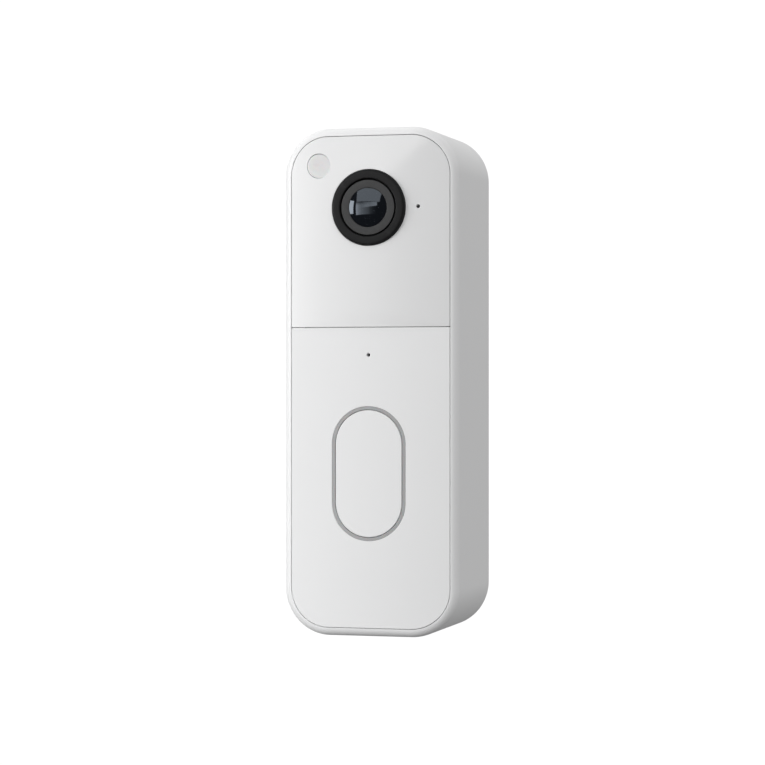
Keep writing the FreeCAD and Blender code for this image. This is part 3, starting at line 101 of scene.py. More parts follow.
# %% [markdown]
# White on white is a lighting problem. If the whole room glows, a white case has no
# shape, so the white background and the light on the object are kept apart. A large
# dome glows white but only the camera sees it, and soft boxes do the lighting. The
# plain transfer curve ("Standard") keeps that white pure.

# %% Stage: dome, floor and view transform
FLOOR_DROP = 60 * MM
DOME_RADIUS = 4.0


def new_material(name):
    material = bpy.data.materials.new(name)
    material.use_nodes = True
    material.node_tree.nodes.clear()
    return material


def glowing(name, strength):
    material = new_material(name)
    nodes = material.node_tree.nodes
    glow = nodes.new("ShaderNodeEmission")
    glow.inputs["Color"].default_value = (1.0, 1.0, 1.0, 1.0)
    glow.inputs["Strength"].default_value = strength
    out = nodes.new("ShaderNodeOutputMaterial")
    material.node_tree.links.new(glow.outputs[0], out.inputs["Surface"])
    return material


def only_for_camera(thing):
    """The camera sees it; it neither lights the object nor shows in reflections."""
    thing.visible_diffuse = False
    thing.visible_glossy = False
    thing.visible_transmission = False
    thing.visible_shadow = False


def link_mesh(name, build):
    mesh = bpy.data.meshes.new(name)
    work = bmesh.new()
    build(work)
    work.to_mesh(mesh)
    work.free()
    thing = bpy.data.objects.new(name, mesh)
    bpy.context.scene.collection.objects.link(thing)
    return thing


def dome_mesh(work):
    bmesh.ops.create_icosphere(work, subdivisions=4, radius=DOME_RADIUS)


def floor_mesh(work):
    bmesh.ops.create_circle(work, cap_ends=True, radius=DOME_RADIUS * 0.98, segments=96)


white_glow = glowing("studio_white", 1.05)
dome = link_mesh("studio_dome", dome_mesh)
floor = link_mesh("studio_floor", floor_mesh)
floor.location.z = case_low.z - FLOOR_DROP
for thing in (dome, floor):
    thing.data.materials.append(white_glow)
    only_for_camera(thing)
bpy.context.scene.view_settings.view_transform = "Standard"
bpy.context.scene.view_settings.look = "None"
print("floor lies", FLOOR_DROP, "m below the case")

# %% [markdown]
# Now the light. One soft box stands well round to the left: it makes the crowned face
# fall from light on the left to grey on the right, and it leaves the right side wall in
# shade. A large dim box above the camera keeps the rolled right edge alive, and the
# surround fills the shade. It is brighter above than below, as under a ceiling light.

# %% Lights
SURROUND_BELOW = 0.08
SURROUND_ABOVE = 0.92


def towards(azimuth, elevation, distance):
    """A place seen from the case at an angle to its left or right, and above or below."""
    across, up = math.radians(azimuth), math.radians(elevation)
    flat = math.cos(up)
    return Vector((math.sin(across) * flat, -math.cos(across) * flat, math.sin(up))) * distance


def soft_box(name, place, target, width, height, watts):
    data = bpy.data.lights.new(name, "AREA")
    data.shape = "RECTANGLE"
    data.size, data.size_y = width, height
    data.energy = watts
    box = bpy.data.objects.new(name, data)
    box.location = place
    box.rotation_euler = (Vector(target) - Vector(place)).to_track_quat("-Z", "Y").to_euler()
    bpy.context.scene.collection.objects.link(box)
    return box


aim = (0.0, -case_middle, 0.0)
key = soft_box("key_left", towards(-60.0, 6.0, 1.6), aim, 0.95, 0.6, 12.0)
fill = soft_box("fill_above", towards(-15.0, 27.0, 2.2), aim, 1.8, 0.9, 9.4)
world = bpy.data.worlds.new("surround")
world.use_nodes = True
sky = world.node_tree
direction = sky.nodes.new("ShaderNodeTexCoord")
parts = sky.nodes.new("ShaderNodeSeparateXYZ")
height = sky.nodes.new("ShaderNodeMapRange")
for socket, value in (("From Min", -1.0), ("From Max", 1.0),
                      ("To Min", SURROUND_BELOW), ("To Max", SURROUND_ABOVE)):
    height.inputs[socket].default_value = value
sky.links.new(direction.outputs["Generated"], parts.inputs[0])
sky.links.new(parts.outputs["Z"], height.inputs["Value"])
sky.nodes["Background"].inputs["Color"].default_value = (1.0, 1.0, 1.0, 1.0)
sky.links.new(height.outputs["Result"], sky.nodes["Background"].inputs["Strength"])
bpy.context.scene.world = world
print("key and fill:", key.data.energy, "W and", fill.data.energy, "W")

# %% [markdown]
# Glossy things show the studio, so the studio needs things worth showing. A black flag
# in front keeps the lens dark. One printed card, bent round the case, does the rest:
# its glow fades from left to right and draws the long gradient on the upper faceplate,
# and a brighter area above a slanting line draws the diagonal near its corner. Only
# reflections see the flag and the card, so neither changes the light.

# %% Cards for the reflections
CARD_DISTANCE = 1.5
CARD_LEFT = -38.0
CARD_RIGHT = 3.0
CARD_GLOW = 4.2
# how the card's glow falls with azimuth, and how much brighter it is above the line
FALL = ((-38.0, 1.0), (-32.0, 0.62), (-27.0, 0.42), (-20.0, 0.30), (-12.5, 0.20), (-10.5, 0.11), (-4.0, 0.04),
        (3.0, 0.01))
ABOVE_LINE = ((-38.0, 0.0), (-26.0, 0.05), (-19.0, 0.26), (-10.0, 0.44), (-3.0, 0.60), (3.0, 0.62))
LINE_SLOPE = 0.125
LINE_HEIGHT = 0.2038


def only_in_reflections(thing):
    thing.visible_camera = False
    thing.visible_diffuse = False
    thing.visible_transmission = False
    thing.visible_shadow = False


def card(name, left, right, distance, columns=12, levels=8):
    """A card bent round the case; each side is (azimuth, lower elevation, upper elevation)."""
    def build(work):
        rows = []
        for step in range(columns + 1):
            azimuth, low, high = (a + (b - a) * step / columns for a, b in zip(left, right))
            rows.append([work.verts.new(towards(azimuth, low + (high - low) * level / levels, distance))
                         for level in range(levels + 1)])
        for near, far in zip(rows, rows[1:]):
            for level in range(levels):
                work.faces.new((near[level], near[level + 1], far[level + 1], far[level]))
    thing = link_mesh(name, build)
    only_in_reflections(thing)
    return thing


def across_card(material, stops):
    """A grey that follows a list of (azimuth, level) stops across the card."""
    tree = material.node_tree
    place = tree.nodes.new("ShaderNodeTexCoord")
    split = tree.nodes.new("ShaderNodeSeparateXYZ")
    span = tree.nodes.new("ShaderNodeMapRange")
    ramp = tree.nodes.new("ShaderNodeValToRGB")
    start, end = (towards(side, 0.0, CARD_DISTANCE).x for side in (CARD_LEFT, CARD_RIGHT))
    span.inputs["From Min"].default_value = start
    span.inputs["From Max"].default_value = end
    while len(ramp.color_ramp.elements) < len(stops):
        ramp.color_ramp.elements.new(0.5)
    for element, (azimuth, level) in zip(ramp.color_ramp.elements, stops):
        element.position = (towards(azimuth, 0.0, CARD_DISTANCE).x - start) / (end - start)
        element.color = (level, level, level, 1.0)
    tree.links.new(place.outputs["Object"], split.inputs[0])
    tree.links.new(split.outputs["X"], span.inputs["Value"])
    tree.links.new(span.outputs["Result"], ramp.inputs["Fac"])
    return place.outputs["Object"], ramp.outputs["Color"]


def printed_card():
    material = new_material("card_print")
    tree = material.node_tree
    place, fall = across_card(material, FALL)
    _, extra = across_card(material, ABOVE_LINE)
    height = tree.nodes.new("ShaderNodeSeparateXYZ")
    dim_above = tree.nodes.new("ShaderNodeMapRange")
    for socket, value in (("From Min", towards(0.0, 9.0, CARD_DISTANCE).z),
                          ("From Max", towards(0.0, 15.0, CARD_DISTANCE).z),
                          ("To Min", CARD_GLOW), ("To Max", 0.12 * CARD_GLOW)):
        dim_above.inputs[socket].default_value = value
    tilt = tree.nodes.new("ShaderNodeVectorMath")
    tilt.operation = "DOT_PRODUCT"
    tilt.inputs[1].default_value = (-LINE_SLOPE, 0.0, 1.0)
    line = tree.nodes.new("ShaderNodeMapRange")
    line.interpolation_type = "SMOOTHSTEP"
    for socket, value in (("From Min", LINE_HEIGHT - 0.004), ("From Max", LINE_HEIGHT + 0.012),
                          ("To Min", 0.0), ("To Max", CARD_GLOW)):
        line.inputs[socket].default_value = value
    glow, more_glow = tree.nodes.new("ShaderNodeEmission"), tree.nodes.new("ShaderNodeEmission")
    both = tree.nodes.new("ShaderNodeAddShader")
    out = tree.nodes.new("ShaderNodeOutputMaterial")
    for source, target in ((place, height.inputs[0]), (height.outputs["Z"], dim_above.inputs["Value"]),
                           (place, tilt.inputs[0]), (tilt.outputs["Value"], line.inputs["Value"]),
                           (fall, glow.inputs["Color"]),
                           (dim_above.outputs["Result"], glow.inputs["Strength"]),
                           (extra, more_glow.inputs["Color"]),
                           (line.outputs["Result"], more_glow.inputs["Strength"]),
                           (glow.outputs[0], both.inputs[0]), (more_glow.outputs[0], both.inputs[1]),
                           (both.outputs[0], out.inputs["Surface"])):
        tree.links.new(source, target)
    return material


flag = card("studio_flag", (-100.0, -75.0, 75.0), (75.0, -75.0, 75.0), 2.6, 24, 16)
flag.data.materials.append(glowing("flag_black", 0.06))
print_card = card("studio_card", (CARD_LEFT, -7.0, 15.0), (CARD_RIGHT, -7.0, 15.0), CARD_DISTANCE, 24, 12)
print_card.data.materials.append(printed_card())
print("reflection card spans", CARD_RIGHT - CARD_LEFT, "degrees")

# %% [markdown]
# Every outline on this object is one of three kinds: a rounded rectangle (the case),
# a pill (the button) or a circle (lens, window, holes). So one function draws them
# all, at any inset. Asking for the same outline a little further in gives the next
# ring of a rounded edge, with the same number of points, and rings are easy to join.

# %% Outlines
CORNER_STEPS = 14


def rounded_outline(width, height, radius, centre=(0.0, 0.0), steps=CORNER_STEPS):
    """A function of inset that lists the outline's points, anticlockwise seen from the front."""
    no_top = width / 2 - radius < 1e-6       # a pill has no straight top or bottom
    no_side = height / 2 - radius < 1e-6

    def at(inset=0.0):
        half_w, half_h = width / 2 - inset, height / 2 - inset
        bend = max(min(radius - inset, half_w, half_h), 1e-5)
        points = []
        for quarter, (sx, sz) in enumerate(((1, 1), (-1, 1), (-1, -1), (1, -1))):
            shared = no_top if quarter in (1, 3) else no_side
            for step in range(1 if shared else 0, steps + 1):
                angle = math.radians(90 * (quarter + step / steps))
                points.append((centre[0] + sx * (half_w - bend) + bend * math.cos(angle),
                               centre[1] + sz * (half_h - bend) + bend * math.sin(angle)))
        return points
    return at


def circle_outline(radius, centre, segments=72):
    def at(inset=0.0):
        points = []
        for step in range(segments):
            angle = 2 * math.pi * step / segments
            points.append((centre[0] + (radius - inset) * math.cos(angle),
                           centre[1] + (radius - inset) * math.sin(angle)))
        return points
    return at


def inside(point, loop):
    """Whether a point lies within a closed loop, by counting crossings."""
    x, z = point
    hit = False
    for (ax, az), (bx, bz) in zip(loop, loop[1:] + loop[:1]):
        if (az > z) != (bz > z) and x < (bx - ax) * (z - az) / (bz - az) + ax:
            hit = not hit
    return hit


def distance_to(point, loop):
    return min(math.hypot(point[0] - x, point[1] - z) for x, z in loop)


# %% [markdown]
# The face isn't flat. Its middle line stands 1.6 mm further out than its sides, so it
# is a slice of a large upright cylinder. The radius of that cylinder follows from two
# measures of the frame: how wide the faceplates are, and how far the crown rises.

# %% The crowned face
WALL = 2.05 * MM
SEAM = 0.13 * MM
FACE_THICKNESS = 1.8 * MM
CROWN = 1.6 * MM
CORNER = 12.2 * MM

case_width = case_high.x - case_low.x
case_height = case_high.z - case_low.z
half_face = case_width / 2 - WALL
crown_radius = (half_face ** 2 + CROWN ** 2) / (2 * CROWN)
face_low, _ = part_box("upper_faceplate")
face_front = -face_low.y


def face_depth(x, below=0.0):
    """Distance of the face (or of a layer below it) from the wall, at a place across it."""
    return face_front - crown_radius + math.sqrt((crown_radius - below) ** 2 - x ** 2)


print("crown radius", round(crown_radius / MM, 1), "mm")
print("face front", round(face_front / MM, 2), "mm from the wall")

# %% [markdown]
# A moulded plate never has a knife edge. Each outline, outer edge or hole, is drawn
# four times: on the flat, then down and out along a quarter circle, then straight
# back to the rear. The flat between the outlines is filled by a constrained
# triangulation with a grid of extra points, so that it can bend with the crown.
# Normals are set from the same quarter circle, so the edge catches light as a
# continuous curve, not as facets.

# %% Plates with rounded edges and holes
EDGE_STEPS = 4


def edge_ring(outline, is_hole, inset, drop, depth_at):
    """Points of one ring: inset is always into the material."""
    side = -inset if is_hole else inset
    return [(x, -(depth_at(x) - drop), z) for x, z in outline(side)]


def face_slope(depth_at, x):
    """Unit normal of the face at x, pointing out at the visitor."""
    step = 1e-5
    slope = (depth_at(x + step) - depth_at(x - step)) / (2 * step)
    return Vector((-slope, -1.0, 0.0)).normalized()


def plate(name, outer, holes=(), depth_at=face_depth, thickness=FACE_THICKNESS, edge=0.12 * MM,
          grid=(1.2 * MM, 3.0 * MM)):
    """A plate with any number of holes, rounded at the front of every edge."""
    outlines = [(outer, False)] + [(hole, True) for hole in holes]
    rings = [[(x, z) for x, z in outline(-edge if is_hole else edge)] for outline, is_hole in outlines]
    flat_points, flat_edges = [], []
    for loop in rings:
        start = len(flat_points)
        flat_points += [Vector(point) for point in loop]
        flat_edges += [(start + i, start + (i + 1) % len(loop)) for i in range(len(loop))]
    xs = [point[0] for point in rings[0]]
    zs = [point[1] for point in rings[0]]
    columns = max(2, int((max(xs) - min(xs)) / grid[0]))
    rows = max(2, int((max(zs) - min(zs)) / grid[1]))
    for column in range(1, columns):
        for row in range(1, rows):
            point = (min(xs) + (max(xs) - min(xs)) * column / columns,
                     min(zs) + (max(zs) - min(zs)) * row / rows)
            if not inside(point, rings[0]) or any(inside(point, hole) for hole in rings[1:]):
                continue
            if min(distance_to(point, loop) for loop in rings) > 0.45 * grid[0]:
                flat_points.append(Vector(point))
    points, _, triangles, origins, *_ = delaunay_2d_cdt(flat_points, flat_edges, [], 1, 1e-8)
    made_from = {source: made for made, sources in enumerate(origins) for source in sources}
    kept = []
    for triangle in triangles:
        centre = sum((points[i] for i in triangle), Vector((0.0, 0.0))) / 3
        if inside(centre, rings[0]) and not any(inside(centre, hole) for hole in rings[1:]):
            kept.append(triangle)
    work = bmesh.new()
    front = [work.verts.new((p.x, -depth_at(p.x), p.y)) for p in points]
    back = [work.verts.new((p.x, -(depth_at(p.x) - thickness), p.y)) for p in points]
    for a, b, c in kept:
        work.faces.new((front[c], front[b], front[a]))
        work.faces.new((back[a], back[b], back[c]))
    smooth = {}
    for index, p in enumerate(points):
        smooth[front[index]] = face_slope(depth_at, p.x)
    place = 0
    for (outline, is_hole), loop in zip(outlines, rings):
        count = len(loop)
        here = [made_from[place + i] for i in range(count)]
        previous = [front[i] for i in here]
        outward = []
        for i in range(count):
            ahead, behind = loop[(i + 1) % count], loop[i - 1]
            side = Vector((ahead[1] - behind[1], 0.0, -(ahead[0] - behind[0]))).normalized()
            outward.append(-side if is_hole else side)
        for step in range(1, EDGE_STEPS + 1):
            turn = math.pi / 2 * step / EDGE_STEPS
            inset = edge * (1 - math.sin(turn))
            drop = edge * (1 - math.cos(turn))
            ring = [work.verts.new(point) for point in edge_ring(outline, is_hole, inset, drop, depth_at)]
            for i, vert in enumerate(ring):
                forward = face_slope(depth_at, vert.co.x) * math.cos(turn)
                smooth[vert] = (forward + outward[i] * math.sin(turn)).normalized()
            join_rings(work, previous, ring, is_hole)
            previous = ring
        rear = [work.verts.new(point)
                for point in edge_ring(outline, is_hole, 0.0, thickness - edge, depth_at)]
        for i, vert in enumerate(rear):
            smooth[vert] = outward[i]
        join_rings(work, previous, rear, is_hole)
        join_rings(work, rear, [back[i] for i in here], is_hole)
        place += count
    return finish_mesh(name, work, smooth)


def join_rings(work, near, far, is_hole=False):
    """A band of four-sided faces between two closed rings."""
    count = len(near)
    for i in range(count):
        j = (i + 1) % count
        corners = (near[i], near[j], far[j], far[i])
        work.faces.new(corners[::-1] if is_hole else corners)


def finish_mesh(name, work, smooth=None):
    """Turn a working mesh into an object, with the given normals where there are any."""
    bmesh.ops.recalc_face_normals(work, faces=work.faces)
    work.verts.index_update()
    order = {vert.index: normal for vert, normal in (smooth or {}).items()}
    mesh = bpy.data.meshes.new(name)
    work.to_mesh(mesh)
    work.free()
    thing = bpy.data.objects.new(name, mesh)
    bpy.context.scene.collection.objects.link(thing)
    mesh.shade_smooth()
    if order:
        normals = [order.get(i, vertex.normal.copy()) for i, vertex in enumerate(mesh.vertices)]
        mesh.normals_split_custom_set_from_vertices(normals)
    return thing


print("plate tool ready,", EDGE_STEPS, "steps to an edge")

# %% [markdown]
# The lens and its rings are turned parts. A lathe profile is a short list of radius
# and depth pairs; a pair may ask for a rounded corner, which is put in by formula.

# %% Turned parts
def rounded_profile(corners, steps=5):
    """Corners are (radius, depth, rounding). Returns the profile with each rounding drawn in."""
    points = []
    for index, (r, d, bend) in enumerate(corners):
        if bend <= 0.0 or index in (0, len(corners) - 1):
            points.append((r, d))
            continue
        here = Vector((r, d))
        before = (Vector(corners[index - 1][:2]) - here).normalized()
        after = (Vector(corners[index + 1][:2]) - here).normalized()
        for step in range(steps + 1):
            t = step / steps
            start, end = here + before * bend, here + after * bend
            point = start * (1 - t) ** 2 + here * 2 * t * (1 - t) + end * t ** 2
            points.append((point.x, point.y))
    return points


def turned(name, profile, centre, segments=120, closed=True):
    """Spin a profile of (radius, depth) about a line into the wall through `centre` (x, z)."""
    work = bmesh.new()
    rings = []
    for r, d in profile:
        if r < 1e-7:
            rings.append([work.verts.new((centre[0], -d, centre[1]))])
            continue
        rings.append([work.verts.new((centre[0] + r * math.cos(2 * math.pi * i / segments), -d,
                                      centre[1] + r * math.sin(2 * math.pi * i / segments)))
                      for i in range(segments)])
    pairs = list(zip(rings, rings[1:]))
    if closed and len(rings[0]) > 1:
        pairs.append((rings[-1], rings[0]))
    for near, far in pairs:
        if len(near) == 1 and len(far) == 1:
            continue
        if len(near) == 1 or len(far) == 1:
            tip, ring = (near[0], far) if len(near) == 1 else (far[0], near)
            for i in range(segments):
                work.faces.new((tip, ring[i], ring[(i + 1) % segments]))
        else:
            join_rings(work, near, far)
    thing = finish_mesh(name, work)
    sharpen(thing)
    return thing


def sharpen(thing, degrees=35.0):
    """Keep smooth shading on curves and a crisp line where two faces really meet."""
    work = bmesh.new()
    work.from_mesh(thing.data)
    limit = math.radians(degrees)
    for edge in work.edges:
        edge.smooth = not (len(edge.link_faces) == 2 and edge.calc_face_angle(0.0) > limit)
    work.to_mesh(thing.data)
    work.free()
    thing.data.shade_smooth()
    return thing


def swept_case(name, outline_of, rings, depth_at):
    """A closed sleeve: each ring is (inset, depth or None for the face, drop below the face)."""
    work = bmesh.new()
    loops = []
    for inset, depth, drop in rings:
        loops.append([work.verts.new((x, -(depth if depth is not None else depth_at(x) - drop), z))
                      for x, z in outline_of(inset)])
    for near, far in zip(loops, loops[1:] + loops[:1]):
        join_rings(work, near, far)
    return sharpen(finish_mesh(name, work))


# %% [markdown]
# The pieces at the back and inside keep the shapes that the frame gives them, but a
# straight copy has razor edges. So each is copied, its flat faces are merged, and
# every hard edge is turned over by a fraction of a millimetre, as moulding and
# stamping leave it.

# %% Softened copies of the frame's own pieces
def softened(node, width=0.15 * MM, segments=2, angle=32.0):
    source = frame["nodes"][node]
    mesh = source.data.copy()
    mesh.name = node + "_finished"
    thing = bpy.data.objects.new(node + "_finished", mesh)
    bpy.context.scene.collection.objects.link(thing)
    mesh.materials.clear()
    work = bmesh.new()
    work.from_mesh(mesh)
    bmesh.ops.remove_doubles(work, verts=work.verts, dist=1e-6)
    bmesh.ops.dissolve_limit(work, angle_limit=math.radians(0.6), verts=work.verts, edges=work.edges)
    work.to_mesh(mesh)
    work.free()
    if width > 0:
        bevel = thing.modifiers.new("edges", "BEVEL")
        bevel.width = width
        bevel.segments = segments
        bevel.limit_method = "ANGLE"
        bevel.angle_limit = math.radians(angle)
        bevel.use_clamp_overlap = True
        bevel.harden_normals = True
    mesh.shade_smooth()
    mesh.set_sharp_from_angle(angle=math.radians(angle))
    return thing


def body_of_node(node):
    return frame["nodes"][node]["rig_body"]


slot_of_node = {part["node"]: part["material_slot"] for part in frame["record"]["subparts"]}


def dress(thing, material, *nodes):
    """Give a new piece its finish, and let it ride and stand in for its frame pieces."""
    thing.data.materials.clear()
    thing.data.materials.append(material)
    if nodes:
        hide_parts(*nodes)
        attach(thing, body_of_node(nodes[0]))
    return thing


print("tools for turned, swept and softened pieces are ready")

# %% [markdown]
# Real moulded plastic is never one number. Its colour drifts very slightly from gate to
# gate, the tool's spark-eroded skin leaves a fine even grain, and handling polishes the
# edges. One function builds that: a slow noise for the drift, a fine noise for grain in
# both bump and roughness, and the mesh's own pointiness for the worn edges.

# %% Node helper and moulded plastic
def add(material, kind, sockets=None, **settings):
    """One node; a socket's value may be a number, a colour, or another node's output."""
    item = material.node_tree.nodes.new(kind)
    for name, value in settings.items():
        setattr(item, name, value)
    for name, value in (sockets or {}).items():
        if isinstance(value, bpy.types.NodeSocket):
            material.node_tree.links.new(value, item.inputs[name])
        else:
            item.inputs[name].default_value = value
    return item


def spread(material, value, low, high, start=0.3, end=0.7):
    """Stretch a noise value onto the range low to high."""
    return add(material, "ShaderNodeMapRange", {"Value": value, "From Min": start, "From Max": end,
                                                "To Min": low, "To Max": high}).outputs["Result"]


def noise(material, place, scale, detail=2.0):
    sockets = {"Vector": place, "Scale": scale, "Detail": detail}
    return add(material, "ShaderNodeTexNoise", sockets).outputs["Fac"]


def blended(material, factor, first, second):
    mix = add(material, "ShaderNodeMix", data_type="RGBA")
    colour_a, colour_b = mix.inputs[6], mix.inputs[7]
    material.node_tree.links.new(factor, mix.inputs[0])
    for socket, colour in ((colour_a, first), (colour_b, second)):
        if isinstance(colour, bpy.types.NodeSocket):
            material.node_tree.links.new(colour, socket)
        else:
            socket.default_value = (*colour, 1.0)
    return mix.outputs[2]


def surface(material, **sockets):
    """A Principled shader wired to the output; underscores stand for spaces."""
    shader = add(material, "ShaderNodeBsdfPrincipled",
                 {name.replace("_", " "): value for name, value in sockets.items()})
    add(material, "ShaderNodeOutputMaterial", {"Surface": shader.outputs[0]})
    return shader


def shade(colour, factor):
    return tuple(min(1.0, part * factor) for part in colour)


def moulded(name, colour, rough, grain=1800.0, relief=0.02, drift=0.03, worn=0.25, wear_colour=None,
            **finish):
    """Moulded plastic or rubber, with drift, grain and polished edges."""
    material = new_material(name)
    place = add(material, "ShaderNodeTexCoord").outputs["Object"]
    slow = noise(material, place, 42.0)
    fine = noise(material, place, grain, 3.0)
    point = add(material, "ShaderNodeNewGeometry").outputs["Pointiness"]
    edge = spread(material, point, 0.0, worn, 0.52, 0.62)
    drifting = blended(material, slow, shade(colour, 1 - drift), shade(colour, 1 + drift))
    tint = blended(material, edge, drifting, wear_colour or shade(colour, 1.12))
    bump = add(material, "ShaderNodeBump", {"Height": fine, "Strength": 1.0, "Distance": relief * MM})
    surface(material, Base_Color=tint, Roughness=spread(material, fine, rough - 0.05, rough + 0.05),
            Normal=bump.outputs[0], **finish)
    return material


WHITE = (0.86, 0.862, 0.865)
frame_white = moulded("frame_white_satin", WHITE, 0.38, relief=0.006, drift=0.006, worn=0.15)
matte_white = moulded("face_white_matte", WHITE, 0.55, grain=2600.0, relief=0.012, drift=0.008, worn=0.15)
gloss_white = moulded("face_white_gloss", shade(WHITE, 0.93), 0.5, grain=900.0, relief=0.0015,
                      drift=0.006, worn=0.1,
                      Coat_Weight=1.0, Coat_Roughness=0.03, Coat_IOR=1.5)
print("white finishes:", frame_white.name, matte_white.name, gloss_white.name)

# %% [markdown]
# The line round the button is a light guide: milky plastic that scatters the light of
# the lamps behind it. Unlit, it reads as a mid grey line, a little darker than the
# white on either side. The motion sensor's window is thin milky polythene, so it lets
# a hint of the dark can behind it through.

# %% Milky plastics and clear plastic
frost_grey = moulded("light_ring_frosted", (0.40, 0.40, 0.405), 0.42, grain=1400.0, relief=0.004, drift=0.04,
                     worn=0.1, Subsurface_Weight=0.15, Subsurface_Scale=0.6 * MM)
window_white = moulded("window_milky", (0.82, 0.82, 0.82), 0.45, grain=3000.0, relief=0.01, drift=0.04,
                       worn=0.2, Subsurface_Weight=0.2, Subsurface_Scale=0.5 * MM)
lamp_clear = moulded("lamp_clear_epoxy", (0.30, 0.30, 0.33), 0.12, grain=900.0, relief=0.002, drift=0.05,
                     Coat_Weight=0.6, Coat_Roughness=0.04)


def transparent(name, colour, rough, ior, smear):
    """Clear glass or plastic whose only marks are faint wipe marks in its roughness."""
    material = new_material(name)
    place = add(material, "ShaderNodeTexCoord").outputs["Object"]
    wipe = add(material, "ShaderNodeMapping", {"Vector": place, "Scale": (1.0, 1.0, 5.0)}).outputs[0]
    marks = noise(material, wipe, 260.0, 4.0)
    tint = blended(material, marks, shade(colour, 0.97), colour)
    bump = add(material, "ShaderNodeBump", {"Height": marks, "Strength": 0.2, "Distance": 0.001 * MM})
    surface(material, Base_Color=tint, Roughness=spread(material, marks, rough, rough + smear),
            Transmission_Weight=1.0, IOR=ior, Normal=bump.outputs[0])
    return material


clear_plastic = transparent("light_pipe_clear", (0.55, 0.56, 0.57), 0.10, 1.49, 0.08)
filter_blue = transparent("filter_blue_glass", (0.45, 0.62, 0.72), 0.02, 1.52, 0.03)
print("milky finishes:", frost_grey.name, window_white.name)

# %% [markdown]
# The lens group is black on black, and the finishes alone tell its rings apart. The
# outer ring is fine-textured satin plastic, the retaining ring is aluminium turned on
# a lathe and dyed grey, so it carries faint concentric tool marks, and the front glass
# is dark with a thin coating; its near-black base colour is painted shade for the unlit
# inside seen through clear glass. The tool marks are a wave texture in rings about the
# lens axis, which needs its own coordinates centred on the lens.

# %% Lens finishes
ring_low, ring_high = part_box("lens_outer_ring")
lens_centre = ((ring_low.x + ring_high.x) / 2, (ring_low.z + ring_high.z) / 2)
gloss_black = moulded("ring_black_satin", (0.012, 0.012, 0.0125), 0.5, grain=2400.0, relief=0.01, drift=0.08,
                      worn=0.3, wear_colour=(0.03, 0.03, 0.031), Specular_IOR_Level=0.18)


def lathe_marks(name, colour, rough, centre, pitch, relief=0.004, **finish):
    """Metal or plastic with concentric tool marks about `centre` (x, z)."""
    material = new_material(name)
    place = add(material, "ShaderNodeTexCoord").outputs["Object"]
    to_axis = {"Vector": place, "Location": (-centre[0], 0.0, -centre[1])}
    moved = add(material, "ShaderNodeMapping", to_axis).outputs[0]
    rings = add(material, "ShaderNodeTexWave", {"Vector": moved, "Scale": 1 / pitch * 0.31, "Distortion": 0.6,
                                                "Detail": 2.0, "Detail Scale": 40.0},
                wave_type="RINGS", rings_direction="Y").outputs["Fac"]
    slow = noise(material, moved, 160.0)
    tint = blended(material, slow, shade(colour, 0.94), shade(colour, 1.06))
    bump = add(material, "ShaderNodeBump", {"Height": rings, "Strength": 1.0, "Distance": relief * MM})
    band = spread(material, rings, rough - 0.06, rough + 0.06, 0.0, 1.0)
    surface(material, Base_Color=tint, Roughness=band,
            Normal=bump.outputs[0], **finish)
    return material


dark_anodised = lathe_marks("retainer_grey_anodised", (0.05, 0.0505, 0.051), 0.5, lens_centre, 0.12 * MM,
                            Specular_IOR_Level=0.25)
barrel_black = lathe_marks("barrel_black_ribbed", (0.012, 0.012, 0.013), 0.7, lens_centre, 0.3 * MM,
                           relief=0.02)


def dark_glass(name, colour, coating):
    """The front glass: an almost black base colour that is painted shade for the unlit inside seen through
    clear glass, with a thin blue coating and a trace of dust.
    """
    material = new_material(name)
    place = add(material, "ShaderNodeTexCoord").outputs["Object"]
    dust = noise(material, place, 5200.0, 1.0)
    marks = noise(material, place, 240.0, 3.0)
    # painted shade: the near-black base colour stands in for the dark barrel behind clear glass; the lighter
    # specks are dust
    tint = blended(material, spread(material, dust, 0.0, 1.0, 0.74, 0.8), colour, shade(coating, 0.25))
    bump = add(material, "ShaderNodeBump", {"Height": marks, "Strength": 0.15, "Distance": 0.001 * MM})
    surface(material, Base_Color=tint, Roughness=spread(material, marks, 0.02, 0.06), IOR=1.6,
            Specular_Tint=(*coating, 1.0), Normal=bump.outputs[0])
    return material


lens_glass = dark_glass("front_glass_coated_shade_black", (0.004, 0.005, 0.007), (0.78, 0.88, 1.0))
print("lens centre at", round(lens_centre[1] / MM, 2), "mm up")

# %% [markdown]
# The inside is a small catalogue of everyday materials: glass-filled plastic, foam,
# rubber, plated steel, a green board under lacquer, copper-coloured flexible film.
# Metals get long fine scratches by stretching a noise one way, the foam gets round
# cells from a Voronoi texture, each a pit with painted shade darkening its bottom, and
# the board gets a faint pattern of buried tracks.

# %% Finishes for the inside and the back
housing_grey = moulded("housing_grey", (0.34, 0.345, 0.35), 0.5, grain=1600.0, relief=0.012, drift=0.03)
plate_grey = moulded("plate_grey", (0.46, 0.465, 0.47), 0.52, grain=1500.0, relief=0.014, drift=0.03)
latch_grey = moulded("latch_grey", (0.62, 0.625, 0.63), 0.42, grain=1500.0, relief=0.01, drift=0.03)
seal_rubber = moulded("seal_rubber", (0.03, 0.03, 0.032), 0.75, grain=900.0, relief=0.02, drift=0.15)
plunger_red = moulded("plunger_red", (0.42, 0.03, 0.03), 0.4, grain=1400.0, relief=0.008, drift=0.05)
chip_black = moulded("chip_black", (0.02, 0.02, 0.021), 0.55, grain=5000.0, relief=0.006, drift=0.1, worn=0.4)
cone_paper = moulded("cone_paper", (0.05, 0.048, 0.045), 0.85, grain=5200.0, relief=0.03, drift=0.2)
cell_wrap = moulded("cell_wrap", (0.10, 0.16, 0.20), 0.3, grain=300.0, relief=0.01, drift=0.04,
                    Coat_Weight=0.7, Coat_Roughness=0.12)


